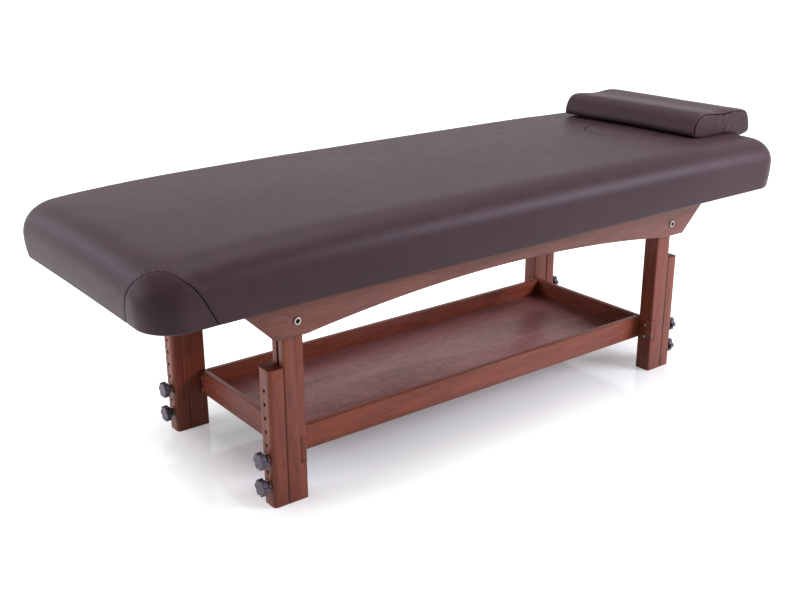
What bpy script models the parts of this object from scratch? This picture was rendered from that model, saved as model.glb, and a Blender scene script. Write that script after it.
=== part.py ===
"""Massage table: an upholstered top on a wooden frame, with four legs that let down.

Frame: metres, +Z up, origin on the floor under the middle of the table.
+X runs along the table to the head end, and the front is the -Y side.
"""

import math

import bmesh
import bpy
from mathutils import Matrix, Vector

# Clearances shared by all pieces
SEAT_GAP = 0.0003
OVERRUN = 0.004

# Upholstered top
CUSHION_LENGTH = 1.950
CUSHION_WIDTH = 0.736
CUSHION_THICK = 0.143
CUSHION_CROWN = 0.004
CUSHION_CORNER_R = 0.085
CUSHION_TOP_EDGE_R = 0.065
CUSHION_BOTTOM_EDGE_R = 0.008
CUSHION_DRAW_IN = 0.005
FOOT_DROOP = 0.029
HEAD_DROOP = 0.010
DROOP_POWER = 4
DROOP_MIDDLE_SHARE = 0.5
BOARD_THICK = 0.015
BOARD_INSET = 0.014

# Face hole, its plug and the pillow over it
FACE_HOLE_LENGTH = 0.240
FACE_HOLE_WIDTH = 0.214
FACE_HOLE_FROM_HEAD = 0.404
FACE_HOLE_OFFSET = -0.020
FACE_PLUG_CLEARANCE = 0.0006
PILLOW_DEPTH = 0.250
PILLOW_WIDTH = 0.476
PILLOW_HUMP_HEIGHT = 0.064
PILLOW_DIP = 0.005
PILLOW_END_CROWN = 0.006
PILLOW_END_EDGE_R = 0.007
PILLOW_FRONT_FROM_HEAD = 0.240
PILLOW_OFFSET = 0.017
PILLOW_TURN = math.radians(2.5)
PILLOW_TILT = math.radians(2.2)

# Posts, which carry the top
POST_LENGTH = 0.5105
POST_SIZE_X = 0.051
POST_SIZE_Y = 0.047
POST_FROM_END = 0.3925
POST_FROM_SIDE = 0.153
POST_EASED_EDGE = 0.002
SLOT_MOUTH = 0.009
SLOT_LIP = 0.012
SLOT_WIDTH = 0.022
SLOT_DEPTH = 0.010

# Outer legs, which slide down on the posts
LEG_LENGTH = 0.3335
LEG_SIZE_X = 0.038
LEG_ROUND = 0.010
LEG_HOLE_DIAMETER = 0.009
LEG_HOLE_COUNT = 8
LEG_HOLE_PITCH = 0.033
LEG_HOLE_DROP = 0.052
KNOB_HOLES = {"upper": 5, "lower": 7}

# Nut rail that runs in the slot of a post
NUT_RAIL_WIDTH = 0.020
NUT_RAIL_THICK = 0.006
NUT_RAIL_END = 0.014
NUT_RAIL_HOLE = 0.0088

# Knobs that clamp a leg to its post
KNOB_DIAMETER = 0.041
KNOB_LOBES = 6
KNOB_LOBE_DEPTH = 0.0045
KNOB_GRIP_THICK = 0.013
KNOB_HUB_DIAMETER = 0.022
KNOB_HUB_LENGTH = 0.009
KNOB_EDGE_R = 0.003
KNOB_HOLLOW_POWER = 1.4
KNOB_FACE_SHARE = 0.94
SCREW_DIAMETER = 0.008
SCREW_PAST_RAIL = 0.001
SCREW_IN_KNOB = 0.014
SCREW_TIP_SHARE = 0.75
WASHER_DIAMETER = 0.024
WASHER_THICK = 0.0016

# Side aprons and cross rails under the top
APRON_THICK = 0.020
APRON_DEPTH = 0.1035
APRON_ARCH_RISE = 0.042
APRON_HORN = 0.0265
APRON_CUT_RUN = 0.106
APRON_BOLT_RISE = 0.0355
RAIL_THICK = 0.020
RAIL_DEPTH = 0.086
RAIL_SETBACK = 0.014
CENTRE_RAIL_DEPTH = 0.045
TENON_THICK = 0.010
TENON_SHOULDER = 0.012
TENON_LENGTH = 0.009

# Apron bolts and the cross dowels that they screw into
BOLT_HEAD_DIAMETER = 0.017
BOLT_HEAD_THICK = 0.003
BOLT_SHANK_DIAMETER = 0.007
BOLT_SOCKET = 0.005
BOLT_SOCKET_DEPTH = 0.002
BOLT_PAST_DOWEL = 0.004
DOWEL_DIAMETER = 0.012
DOWEL_LENGTH = 0.024
DOWEL_BORE = 0.0076
BORE_CLEARANCE = 0.0005

# Tray between the posts
TRAY_BOTTOM = 0.092
TRAY_RAIL_DEPTH = 0.063
TRAY_RAIL_THICK = 0.016
TRAY_PANEL_THICK = 0.008
TRAY_TONGUE_THICK = 0.005
TRAY_PANEL_RISE = 0.0175
TRAY_GROOVE_DEPTH = 0.006
TRAY_FIXING_SPACING = 0.033
TRAY_FIXING_SHARE = 0.43
TRAY_BOLT_HEAD_DIAMETER = 0.010
TRAY_BOLT_HEAD_THICK = 0.003
TRAY_BOLT_DIAMETER = 0.006
TRAY_BOLT_GRIP = 0.026
TRAY_SOCKET = 0.004
TRAY_SOCKET_DEPTH = 0.0015
TRAY_SCREW_HEAD_DIAMETER = 0.009
TRAY_SCREW_HEAD_THICK = 0.0025
TRAY_SCREW_DIAMETER = 0.0045
TRAY_SCREW_GRIP = 0.024

# Rounding of the wooden edges
WOOD_EDGE_R = 0.0015

# Fineness of the round forms, as counts
CORNER_STEPS = 7
LONG_SIDE_STEPS = 12
SHORT_SIDE_STEPS = 5
TOP_EDGE_STEPS = 6
CROWN_SHARES = (0.18, 0.5, 0.8)
HOLE_SIDES = 12
OVAL_SIDES = 40
ARCH_STEPS = 24
KNOB_STEPS_PER_LOBE = 4

# Levels and lines that the pieces share
CUSHION_HALF_X = CUSHION_LENGTH / 2
CUSHION_HALF_Y = CUSHION_WIDTH / 2
CUSHION_UNDERSIDE = POST_LENGTH + SEAT_GAP
CUSHION_TOP = CUSHION_UNDERSIDE + CUSHION_THICK
POST_INNER_X = CUSHION_HALF_X - POST_FROM_END
POST_OUTER_X = POST_INNER_X + POST_SIZE_X
POST_MID_X = POST_INNER_X + POST_SIZE_X / 2
POST_INNER_Y = CUSHION_HALF_Y - POST_FROM_SIDE
POST_OUTER_Y = POST_INNER_Y + POST_SIZE_Y
POST_MID_Y = POST_INNER_Y + POST_SIZE_Y / 2
LEG_INNER_X = POST_OUTER_X + SEAT_GAP
LEG_MID_X = LEG_INNER_X + LEG_SIZE_X / 2
APRON_INNER_Y = POST_OUTER_Y + SEAT_GAP
APRON_OUTER_Y = APRON_INNER_Y + APRON_THICK
APRON_BOTTOM = POST_LENGTH - APRON_DEPTH
APRON_BOLT_Z = APRON_BOTTOM + APRON_BOLT_RISE
TRAY_END_OUTER_X = POST_INNER_X + TRAY_RAIL_THICK
TRAY_SIDE_OUTER_Y = POST_INNER_Y - SEAT_GAP
TRAY_SIDE_INNER_Y = TRAY_SIDE_OUTER_Y - TRAY_RAIL_THICK
TRAY_TOP = TRAY_BOTTOM + TRAY_RAIL_DEPTH
TRAY_PANEL_TOP = TRAY_BOTTOM + TRAY_PANEL_RISE
TRAY_TONGUE_BOTTOM = TRAY_PANEL_TOP - TRAY_PANEL_THICK
TRAY_TONGUE_TOP = TRAY_TONGUE_BOTTOM + TRAY_TONGUE_THICK
TRAY_FIXING_MID_Z = TRAY_BOTTOM + TRAY_RAIL_DEPTH * TRAY_FIXING_SHARE
FACE_HOLE_X = CUSHION_HALF_X - FACE_HOLE_FROM_HEAD + FACE_HOLE_LENGTH / 2

ENDS = {"foot": -1, "head": 1}
SIDES = {"front": -1, "back": 1}


# Scene and mesh helpers

def clear_scene():
    for old in list(bpy.data.objects):
        bpy.data.objects.remove(old, do_unlink=True)


def make_material(name, colour, roughness, metallic=0.0):
    material = bpy.data.materials.new(name)
    material.use_nodes = True
    shader = material.node_tree.nodes["Principled BSDF"]
    shader.inputs["Base Color"].default_value = (*colour, 1.0)
    shader.inputs["Roughness"].default_value = roughness
    shader.inputs["Metallic"].default_value = metallic
    return material


def finish_mesh(name, bm, smooth=False):
    bmesh.ops.recalc_face_normals(bm, faces=bm.faces)
    mesh = bpy.data.meshes.new(name)
    bm.to_mesh(mesh)
    bm.free()
    if smooth:
        mesh.shade_smooth()
        mesh.set_sharp_from_angle(angle=math.radians(35))
    return mesh


def place(name, mesh, material=None, parent=None, location=(0, 0, 0), turn_z=0.0):
    piece = bpy.data.objects.new(name, mesh)
    bpy.context.scene.collection.objects.link(piece)
    piece.parent = parent
    piece.location = location
    piece.rotation_euler = (0, 0, turn_z)
    if material and not mesh.materials:
        mesh.materials.append(material)
    return piece


def place_empty(name, location, parent=None):
    empty = bpy.data.objects.new(name, None)
    bpy.context.scene.collection.objects.link(empty)
    empty.parent = parent
    empty.location = location
    return empty


def place_cutter(name, mesh):
    cutter = place(name, mesh)
    cutter.hide_render = True
    cutter.display_type = "WIRE"
    return cutter


def cut(piece, cutter, operation="DIFFERENCE"):
    modifier = piece.modifiers.new(cutter.name, "BOOLEAN")
    modifier.operation = operation
    modifier.object = cutter


def ease_edges(piece, width, segments=1):
    modifier = piece.modifiers.new("eased_edges", "BEVEL")
    modifier.width = width
    modifier.segments = segments
    modifier.limit_method = "ANGLE"
    modifier.angle_limit = math.radians(40)


def add_box(bm, low, high):
    size = [top - bottom for bottom, top in zip(low, high)]
    middle = [(top + bottom) / 2 for bottom, top in zip(low, high)]
    matrix = Matrix.Translation(middle) @ Matrix.Diagonal((*size, 1))
    bmesh.ops.create_cube(bm, size=1, matrix=matrix)


def ordered(a, b):
    return (a, b) if a < b else (b, a)


def add_signed_box(bm, x_span, y_span, z_span):
    """A box whose spans may run either way, for pieces mirrored by a sign."""
    spans = [ordered(*span) for span in (x_span, y_span, z_span)]
    add_box(bm, [span[0] for span in spans], [span[1] for span in spans])


def box_mesh(name, x_span, y_span, z_span):
    bm = bmesh.new()
    add_signed_box(bm, x_span, y_span, z_span)
    return finish_mesh(name, bm)


def add_prism(bm, outline, start, end, axis):
    """Extrude a closed outline of (a, b) points along X, Y or Z."""
    def point(a, b, along):
        return {"X": (along, a, b), "Y": (a, along, b), "Z": (a, b, along)}[axis]

    first = [bm.verts.new(point(a, b, start)) for a, b in outline]
    last = [bm.verts.new(point(a, b, end)) for a, b in outline]
    bm.faces.new(first)
    bm.faces.new(reversed(last))
    count = len(outline)
    for i in range(count):
        j = (i + 1) % count
        bm.faces.new((first[i], last[i], last[j], first[j]))


def add_rod(bm, start, end, diameter, sides=HOLE_SIDES):
    """A cylinder between two points."""
    start, end = Vector(start), Vector(end)
    run = end - start
    matrix = Matrix.Translation((start + end) / 2) @ run.to_track_quat("Z", "Y").to_matrix().to_4x4()
    bmesh.ops.create_cone(bm, cap_ends=True, segments=sides, radius1=diameter / 2,
                          radius2=diameter / 2, depth=run.length, matrix=matrix)


def add_turned(bm, profile, matrix, sides=HOLE_SIDES):
    """Turn a profile of (along, radius) points round the X axis of matrix.

    A profile that starts and ends at radius zero makes a solid piece, and
    any other is closed into a ring.
    """
    rings = []
    for along, radius in profile:
        if radius == 0:
            rings.append([bm.verts.new(matrix @ Vector((along, 0, 0)))])
            continue
        angles = [math.tau * i / sides for i in range(sides)]
        ring = [(along, radius * math.cos(a), radius * math.sin(a)) for a in angles]
        rings.append([bm.verts.new(matrix @ Vector(p)) for p in ring])
    pairs = list(zip(rings, rings[1:]))
    if profile[0][1] > 0:
        pairs.append((rings[-1], rings[0]))
    for ring, other in pairs:
        join_rings(bm, ring, other)


def join_rings(bm, ring, other):
    count = max(len(ring), len(other))
    for i in range(count):
        j = (i + 1) % count
        corners = []
        for loop, index in ((ring, i), (other, i), (other, j), (ring, j)):
            corner = loop[index % len(loop)]
            if corner not in corners:
                corners.append(corner)
        if len(corners) > 2:
            bm.faces.new(corners)


def facing(direction, location):
    """The matrix that turns +X to a direction and moves it to a location."""
    turn = Vector(direction).to_track_quat("X", "Z").to_matrix().to_4x4()
    return Matrix.Translation(location) @ turn


def corner_name(kind, end, side):
    return f"{kind}_{end}_{side}"


def each_corner():
    for end, end_sign in ENDS.items():
        for side, side_sign in SIDES.items():
            yield end, end_sign, side, side_sign


# Upholstered top

def rounded_outline(inset):
    """Points round the top's plan, drawn in by inset, from the head round the back."""
    half_x = CUSHION_HALF_X - inset
    half_y = CUSHION_HALF_Y - inset
    radius = max(CUSHION_CORNER_R - inset, CUSHION_BOTTOM_EDGE_R / 4)
    straight_x = half_x - radius
    straight_y = half_y - radius
    quarter = []
    for i in range(SHORT_SIDE_STEPS):
        quarter.append((half_x, straight_y * i / SHORT_SIDE_STEPS))
    for i in range(CORNER_STEPS + 1):
        angle = math.pi / 2 * i / CORNER_STEPS
        quarter.append((straight_x + radius * math.cos(angle), straight_y + radius * math.sin(angle)))
    for i in range(1, LONG_SIDE_STEPS + 1):
        quarter.append((straight_x * (1 - i / LONG_SIDE_STEPS), half_y))
    half = quarter + [(-x, y) for x, y in reversed(quarter[:-1])]
    return half + [(x, -y) for x, y in reversed(half[1:-1])]


def droop(x, y):
    """How far the top falls from its middle towards its two ends."""
    end_droop = HEAD_DROOP if x > 0 else FOOT_DROOP
    along = abs(x) / CUSHION_HALF_X
    across = abs(y) / CUSHION_HALF_Y
    spread = DROOP_MIDDLE_SHARE + (1 - DROOP_MIDDLE_SHARE) * across ** 2
    return end_droop * along ** DROOP_POWER * spread


def top_edge_radius():
    return min(CUSHION_TOP_EDGE_R, (CUSHION_THICK - CUSHION_BOTTOM_EDGE_R) / 2)


def crown_height(inset):
    share = (inset - top_edge_radius()) / (CUSHION_HALF_Y - top_edge_radius())
    return CUSHION_CROWN * (1 - (1 - min(max(share, 0), 1)) ** 2)


def top_surface(x, y):
    """Height of the top at a place that is clear of its rounded edge."""
    inset = min(CUSHION_HALF_X - abs(x), CUSHION_HALF_Y - abs(y))
    edge = top_edge_radius()
    fall = 0.0
    if inset < edge:
        fall = edge - math.sqrt(edge ** 2 - (edge - max(inset, 0)) ** 2)
    return CUSHION_TOP - droop(x, y) + crown_height(inset) - fall


def cushion_rings():
    """(inset, height above the underside or below the top edge) for each ring."""
    edge = CUSHION_BOTTOM_EDGE_R
    rings = []
    for angle in (0, math.pi / 4, math.pi / 2):
        inset = CUSHION_DRAW_IN + edge * (1 - math.sin(angle))
        rings.append((inset, "under", edge * (1 - math.cos(angle))))
    for i in range(TOP_EDGE_STEPS + 1):
        angle = math.pi / 2 * i / TOP_EDGE_STEPS
        inset = top_edge_radius() * (1 - math.cos(angle))
        rings.append((inset, "edge", top_edge_radius() * (1 - math.sin(angle))))
    for share in CROWN_SHARES:
        inset = top_edge_radius() + (CUSHION_HALF_Y - top_edge_radius()) * share
        rings.append((inset, "crown", crown_height(inset)))
    return rings


def ring_height(kind, value, x, y):
    if kind == "under":
        return CUSHION_UNDERSIDE + value
    if kind == "edge":
        return CUSHION_TOP - droop(x, y) - value
    return CUSHION_TOP - droop(x, y) + value


def fill_ladder(bm, ring):
    """Close a ring of the plan's outline with bands that cross it from side to side."""
    count = len(ring)
    first = SHORT_SIDE_STEPS + CORNER_STEPS + 1
    last = count // 2 - first
    bm.faces.new([ring[i] for i in range(-first, first + 1)])
    bm.faces.new([ring[i] for i in range(last, count - last + 1)])
    for i in range(first, last):
        bm.faces.new((ring[i], ring[i + 1], ring[count - i - 1], ring[count - i]))


def cushion_mesh(name):
    bm = bmesh.new()
    rings = []
    for inset, kind, value in cushion_rings():
        points = [(x, y, ring_height(kind, value, x, y)) for x, y in rounded_outline(inset)]
        rings.append([bm.verts.new(point) for point in points])
    for ring, other in zip(rings, rings[1:]):
        join_rings(bm, ring, other)
    fill_ladder(bm, rings[0])
    fill_ladder(bm, rings[-1])
    return finish_mesh(name, bm, smooth=True)


def oval_outline(shrink):
    """The face hole's outline, made smaller all round by shrink."""
    points = []
    for i in range(OVAL_SIDES):
        angle = math.tau * i / OVAL_SIDES
        points.append((FACE_HOLE_X + (FACE_HOLE_LENGTH / 2 - shrink) * math.cos(angle),
                       FACE_HOLE_OFFSET + (FACE_HOLE_WIDTH / 2 - shrink) * math.sin(angle)))
    return points


def oval_mesh(name, shrink, low, high, origin=(0, 0)):
    bm = bmesh.new()
    outline = [(x - origin[0], y - origin[1]) for x, y in oval_outline(shrink)]
    add_prism(bm, outline, low, high, "Z")
    return finish_mesh(name, bm, smooth=True)


def board_outline(extra):
    return rounded_outline(BOARD_INSET + CUSHION_DRAW_IN - extra)


def build_top():
    leather = make_material("cushion", (0.105, 0.080, 0.088), 0.42)
    board_top = CUSHION_UNDERSIDE + BOARD_THICK
    hole_high = CUSHION_TOP + CUSHION_CROWN + OVERRUN
    hole_low = CUSHION_UNDERSIDE - OVERRUN

    bm = bmesh.new()
    add_prism(bm, board_outline(SEAT_GAP), CUSHION_UNDERSIDE - OVERRUN, board_top + SEAT_GAP, "Z")
    recess = place_cutter("board_recess_cutter", finish_mesh("board_recess_cutter", bm))
    hole = place_cutter("face_hole_cutter", oval_mesh("face_hole_cutter", 0, hole_low, hole_high))
    form = place_cutter("plug_top_cutter", cushion_mesh("plug_top_cutter"))

    cushion = place("cushion", cushion_mesh("cushion"), leather)
    cut(cushion, recess)
    cut(cushion, hole)

    bm = bmesh.new()
    add_prism(bm, board_outline(0), CUSHION_UNDERSIDE, board_top, "Z")
    plywood = make_material("base_board", (0.52, 0.36, 0.20), 0.65)
    board = place("base_board", finish_mesh("base_board", bm), plywood)
    cut(board, hole)

    cover = make_material("face_plug", (0.105, 0.080, 0.088), 0.42)
    centre = (FACE_HOLE_X, FACE_HOLE_OFFSET)
    plug_mesh = oval_mesh("face_plug", FACE_PLUG_CLEARANCE, hole_low, hole_high, centre)
    plug = place("face_plug", plug_mesh, cover, location=(*centre, 0))
    cut(plug, form, "INTERSECT")


# Pillow

PILLOW_RISE_SHARES = (
    (0.000, 0.00), (0.005, 0.20), (0.016, 0.42), (0.035, 0.66), (0.062, 0.83), (0.100, 0.94),
    (0.150, 0.995), (0.210, 1.00),
)
PILLOW_UNDER_SHARES = (0.75, 0.5, 0.25)
PILLOW_END_INSET_SHARE = 2.2
PILLOW_END_RIM_SHARE = 0.35
PILLOW_DIP_STEPS = 6
PILLOW_SEAT_STEPS = 40


def pillow_profile():
    """(along, height) round the pillow's end: a front hump, a dip and a rear hump."""
    rise = [(along * PILLOW_DEPTH, high * PILLOW_HUMP_HEIGHT) for along, high in PILLOW_RISE_SHARES]
    hump_at = rise[-1][0]
    middle = []
    for i in range(1, PILLOW_DIP_STEPS):
        share = i / PILLOW_DIP_STEPS
        along = hump_at + (PILLOW_DEPTH - 2 * hump_at) * share
        middle.append((along, PILLOW_HUMP_HEIGHT - PILLOW_DIP * math.sin(math.pi * share) ** 2))
    fall = [(PILLOW_DEPTH - along, high) for along, high in reversed(rise)]
    under = [(PILLOW_DEPTH * share, 0.0) for share in PILLOW_UNDER_SHARES]
    return rise + middle + fall + under


def pillow_sections():
    """(place across, inset of the profile) from the front end to the back end."""
    half = PILLOW_WIDTH / 2
    edge = PILLOW_END_EDGE_R
    rim = half - PILLOW_END_CROWN * PILLOW_END_RIM_SHARE
    sections = [(half, edge * PILLOW_END_INSET_SHARE), (rim, edge)]
    for angle in (math.pi / 4, math.pi / 2):
        sections.append((rim - edge * math.sin(angle), edge * (1 - math.sin(angle))))
    near = [(-across, inset) for across, inset in sections]
    return near + [(0.0, 0.0)] + [(across, inset) for across, inset in reversed(sections)]


def pillow_mesh():
    bm = bmesh.new()
    mid_high = PILLOW_HUMP_HEIGHT / 2
    rings = []
    for across, inset in pillow_sections():
        scale_x = 1 - 2 * inset / PILLOW_DEPTH
        scale_z = 1 - 2 * inset / PILLOW_HUMP_HEIGHT
        ring = []
        for along, high in pillow_profile():
            x = (along - PILLOW_DEPTH / 2) * scale_x
            z = mid_high + (high - mid_high) * scale_z
            ring.append(bm.verts.new((x, across, z)))
        rings.append(ring)
    for ring, other in zip(rings, rings[1:]):
        join_rings(bm, ring, other)
    for ring, across in ((rings[0], -PILLOW_WIDTH / 2), (rings[-1], PILLOW_WIDTH / 2)):
        middle = bm.verts.new((0, across, mid_high))
        join_rings(bm, ring, [middle])
    return finish_mesh("pillow", bm, smooth=True)


def pillow_seat(centre_x, centre_y):
    """The height at which the tilted pillow just clears the top."""
    highest = -math.inf
    steps = PILLOW_SEAT_STEPS
    for i in range(steps + 1):
        for j in range(steps + 1):
            along = PILLOW_DEPTH * (i / steps - 0.5)
            across = PILLOW_WIDTH * (j / steps - 0.5)
            x = centre_x + along * math.cos(PILLOW_TURN) - across * math.sin(PILLOW_TURN)
            y = centre_y + along * math.sin(PILLOW_TURN) + across * math.cos(PILLOW_TURN)
            if abs(x) < CUSHION_HALF_X:
                highest = max(highest, top_surface(x, y) + along * math.tan(PILLOW_TILT))
    return highest + SEAT_GAP


def build_pillow():
    cover = make_material("pillow", (0.098, 0.075, 0.085), 0.42)
    centre_x = CUSHION_HALF_X - PILLOW_FRONT_FROM_HEAD + PILLOW_DEPTH / 2
    pillow = place("pillow", pillow_mesh(), cover)
    pillow.rotation_euler = (0, PILLOW_TILT, PILLOW_TURN)
    pillow.location = (centre_x, PILLOW_OFFSET, pillow_seat(centre_x, PILLOW_OFFSET))


# Wooden frame

def build_side_aprons():
    """Each apron has an arch between its posts and ends cut back on the slant."""
    bolt_holes = bmesh.new()
    for _, end_sign, _, side_sign in each_corner():
        x = end_sign * POST_MID_X
        add_rod(bolt_holes, (x, side_sign * (APRON_INNER_Y - OVERRUN / 2), APRON_BOLT_Z),
                (x, side_sign * (APRON_OUTER_Y + OVERRUN), APRON_BOLT_Z),
                BOLT_SHANK_DIAMETER + 2 * BORE_CLEARANCE)
    bolt_cutter = place_cutter("apron_bolt_cutter", finish_mesh("apron_bolt_cutter", bolt_holes))
    for side, side_sign in SIDES.items():
        bm = bmesh.new()
        add_prism(bm, apron_outline(), side_sign * APRON_INNER_Y, side_sign * APRON_OUTER_Y, "Y")
        name = f"side_apron_{side}"
        wood = make_material(name, (0.20, 0.055, 0.030), 0.38)
        apron = place(name, finish_mesh(name, bm), wood)
        ease_edges(apron, WOOD_EDGE_R)
        cut(apron, bolt_cutter)
        cut(apron, mortise_cutter(side, side_sign))


def apron_outline():
    lower_end = POST_OUTER_X + APRON_HORN
    upper_end = lower_end + APRON_CUT_RUN
    outline = [(upper_end, POST_LENGTH), (-upper_end, POST_LENGTH), (-lower_end, APRON_BOTTOM)]
    radius = (POST_INNER_X ** 2 + APRON_ARCH_RISE ** 2) / (2 * APRON_ARCH_RISE)
    centre_z = APRON_BOTTOM + APRON_ARCH_RISE - radius
    for i in range(ARCH_STEPS + 1):
        x = POST_INNER_X * (2 * i / ARCH_STEPS - 1)
        outline.append((x, centre_z + math.sqrt(radius ** 2 - x ** 2)))
    outline.append((lower_end, APRON_BOTTOM))
    return outline


def cross_rail_places():
    """(name, middle x, depth) of the rails that tie the aprons together."""
    end_x = POST_INNER_X - RAIL_SETBACK - RAIL_THICK / 2
    return (("cross_rail_foot", -end_x, RAIL_DEPTH),
            ("cross_rail_centre", 0.0, CENTRE_RAIL_DEPTH),
            ("cross_rail_head", end_x, RAIL_DEPTH))


def tenon_span(depth):
    return POST_LENGTH - depth + TENON_SHOULDER, POST_LENGTH - TENON_SHOULDER


def mortise_cutter(side, side_sign):
    bm = bmesh.new()
    for _, x, depth in cross_rail_places():
        low, high = tenon_span(depth)
        half = TENON_THICK / 2 + SEAT_GAP
        y_span = (side_sign * (APRON_INNER_Y - OVERRUN / 2),
                  side_sign * (APRON_INNER_Y + TENON_LENGTH))
        add_signed_box(bm, (x - half, x + half), y_span, (low - SEAT_GAP, high + SEAT_GAP))
    name = f"mortise_cutter_{side}"
    return place_cutter(name, finish_mesh(name, bm))


def build_cross_rails():
    for name, x, depth in cross_rail_places():
        half = RAIL_THICK / 2
        shoulder_y = APRON_INNER_Y - SEAT_GAP
        tenon_y = APRON_INNER_Y + TENON_LENGTH - SEAT_GAP
        z_low = POST_LENGTH - depth
        tenon_low, tenon_high = tenon_span(depth)
        bm = bmesh.new()
        outline = [(-shoulder_y, z_low), (shoulder_y, z_low), (shoulder_y, tenon_low),
                   (shoulder_y, tenon_high), (shoulder_y, POST_LENGTH),
                   (-shoulder_y, POST_LENGTH), (-shoulder_y, tenon_high), (-shoulder_y, tenon_low)]
        add_prism(bm, outline, x - half, x + half, "X")
        wood = make_material(name, (0.16, 0.045, 0.025), 0.45)
        rail = place(name, finish_mesh(name, bm), wood)
        bm = bmesh.new()
        add_box(bm, (x - TENON_THICK / 2, -tenon_y, tenon_low), (x + TENON_THICK / 2, tenon_y, tenon_high))
        tenon = place_cutter(f"{name}_tenons", finish_mesh(f"{name}_tenons", bm))
        cut(rail, tenon, "UNION")


def post_outline(end_sign, side_sign):
    """Plan of a post, with the slot that its leg runs on in the outer face."""
    mid_y = side_sign * POST_MID_Y
    edge = POST_EASED_EDGE
    x_in = POST_INNER_X
    x_out = POST_OUTER_X
    x_lip = x_out - SLOT_LIP
    x_floor = x_lip - SLOT_DEPTH
    half_y = POST_SIZE_Y / 2
    half = [(x_in, 0.0), (x_in, half_y - edge), (x_in + edge, half_y), (x_out - edge, half_y),
            (x_out, half_y - edge), (x_out, SLOT_MOUTH / 2), (x_lip, SLOT_MOUTH / 2),
            (x_lip, SLOT_WIDTH / 2), (x_floor, SLOT_WIDTH / 2)]
    whole = half[1:] + [(x, -y) for x, y in reversed(half[1:])]
    return [(end_sign * x, mid_y + y) for x, y in whole]


def post_cutter(end, end_sign, side, side_sign):
    """The tray's housing and the bores for its bolts, the apron bolt and the dowel."""
    name = corner_name("post_cutter", end, side)
    bm = bmesh.new()
    mid_y = side_sign * POST_MID_Y
    add_signed_box(bm, (end_sign * (POST_INNER_X - OVERRUN), end_sign * (TRAY_END_OUTER_X + SEAT_GAP)),
                   (side_sign * (POST_INNER_Y - OVERRUN), side_sign * (POST_OUTER_Y + OVERRUN)),
                   (TRAY_BOTTOM - SEAT_GAP, TRAY_TOP + SEAT_GAP))
    housing = place_cutter(name, finish_mesh(name, bm))
    bm = bmesh.new()
    for z in tray_fixing_heights():
        add_rod(bm, (end_sign * TRAY_END_OUTER_X, mid_y, z),
                (end_sign * (POST_INNER_X + TRAY_BOLT_GRIP + SEAT_GAP), mid_y, z),
                TRAY_BOLT_DIAMETER + 2 * BORE_CLEARANCE)
    bores = place_cutter(f"{name}_bores", finish_mesh(f"{name}_bores", bm))
    bm = bmesh.new()
    add_rod(bm, (end_sign * POST_MID_X, side_sign * (POST_OUTER_Y + OVERRUN), APRON_BOLT_Z),
            (end_sign * POST_MID_X, side_sign * (apron_bolt_tip_y() - SEAT_GAP), APRON_BOLT_Z),
            BOLT_SHANK_DIAMETER + 2 * BORE_CLEARANCE)
    bolt = place_cutter(f"{name}_bolt", finish_mesh(f"{name}_bolt", bm))
    bm = bmesh.new()
    add_rod(bm, (end_sign * (POST_INNER_X - OVERRUN), mid_y, APRON_BOLT_Z),
            (end_sign * (dowel_end_x() + SEAT_GAP), mid_y, APRON_BOLT_Z),
            DOWEL_DIAMETER + 2 * SEAT_GAP)
    dowel = place_cutter(f"{name}_dowel", finish_mesh(f"{name}_dowel", bm))
    return housing, bores, bolt, dowel


def build_posts():
    for end, end_sign, side, side_sign in each_corner():
        name = corner_name("post", end, side)
        bm = bmesh.new()
        add_prism(bm, post_outline(end_sign, side_sign), 0.0, POST_LENGTH, "Z")
        wood = make_material(name, (0.21, 0.060, 0.032), 0.38)
        post = place(name, finish_mesh(name, bm), wood)
        for cutter in post_cutter(end, end_sign, side, side_sign):
            cut(post, cutter)


# Apron bolts and cross dowels

def dowel_end_x():
    return POST_MID_X + DOWEL_LENGTH / 2


def apron_bolt_tip_y():
    return POST_MID_Y - DOWEL_DIAMETER / 2 - BOLT_PAST_DOWEL


def add_socket_bolt(bm, matrix, head_diameter, head_thick, shank_diameter, shank_length):
    """A bolt along +X of matrix, whose head sits on the plane x = 0."""
    edge = head_thick / 3
    profile = [(shank_length, 0.0), (shank_length, shank_diameter / 2), (0.0, shank_diameter / 2),
               (0.0, head_diameter / 2), (edge - head_thick, head_diameter / 2),
               (-head_thick, head_diameter / 2 - edge), (-head_thick, 0.0)]
    add_turned(bm, profile, matrix)


def add_hex_socket(bm, matrix, across, depth, head_thick):
    outline = []
    for i in range(6):
        angle = math.tau * i / 6
        outline.append((across / math.sqrt(3) * math.cos(angle), across / math.sqrt(3) * math.sin(angle)))
    made = len(bm.verts)
    add_prism(bm, outline, -head_thick - OVERRUN, depth - head_thick, "X")
    bm.verts.ensure_lookup_table()
    bmesh.ops.transform(bm, matrix=matrix, verts=bm.verts[made:])


def build_apron_bolts():
    for end, end_sign, side, side_sign in each_corner():
        name = corner_name("apron_bolt", end, side)
        seat_y = APRON_OUTER_Y + SEAT_GAP
        matrix = facing((0, -side_sign, 0), (end_sign * POST_MID_X, side_sign * seat_y, APRON_BOLT_Z))
        bm = bmesh.new()
        add_socket_bolt(bm, matrix, BOLT_HEAD_DIAMETER, BOLT_HEAD_THICK, BOLT_SHANK_DIAMETER,
                        seat_y - apron_bolt_tip_y())
        nickel = make_material(name, (0.62, 0.60, 0.58), 0.28, 1.0)
        bolt = place(name, finish_mesh(name, bm, smooth=True), nickel)
        bm = bmesh.new()
        add_hex_socket(bm, matrix, BOLT_SOCKET, BOLT_SOCKET_DEPTH, BOLT_HEAD_THICK)
        cut(bolt, place_cutter(f"{name}_socket", finish_mesh(f"{name}_socket", bm)))


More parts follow.
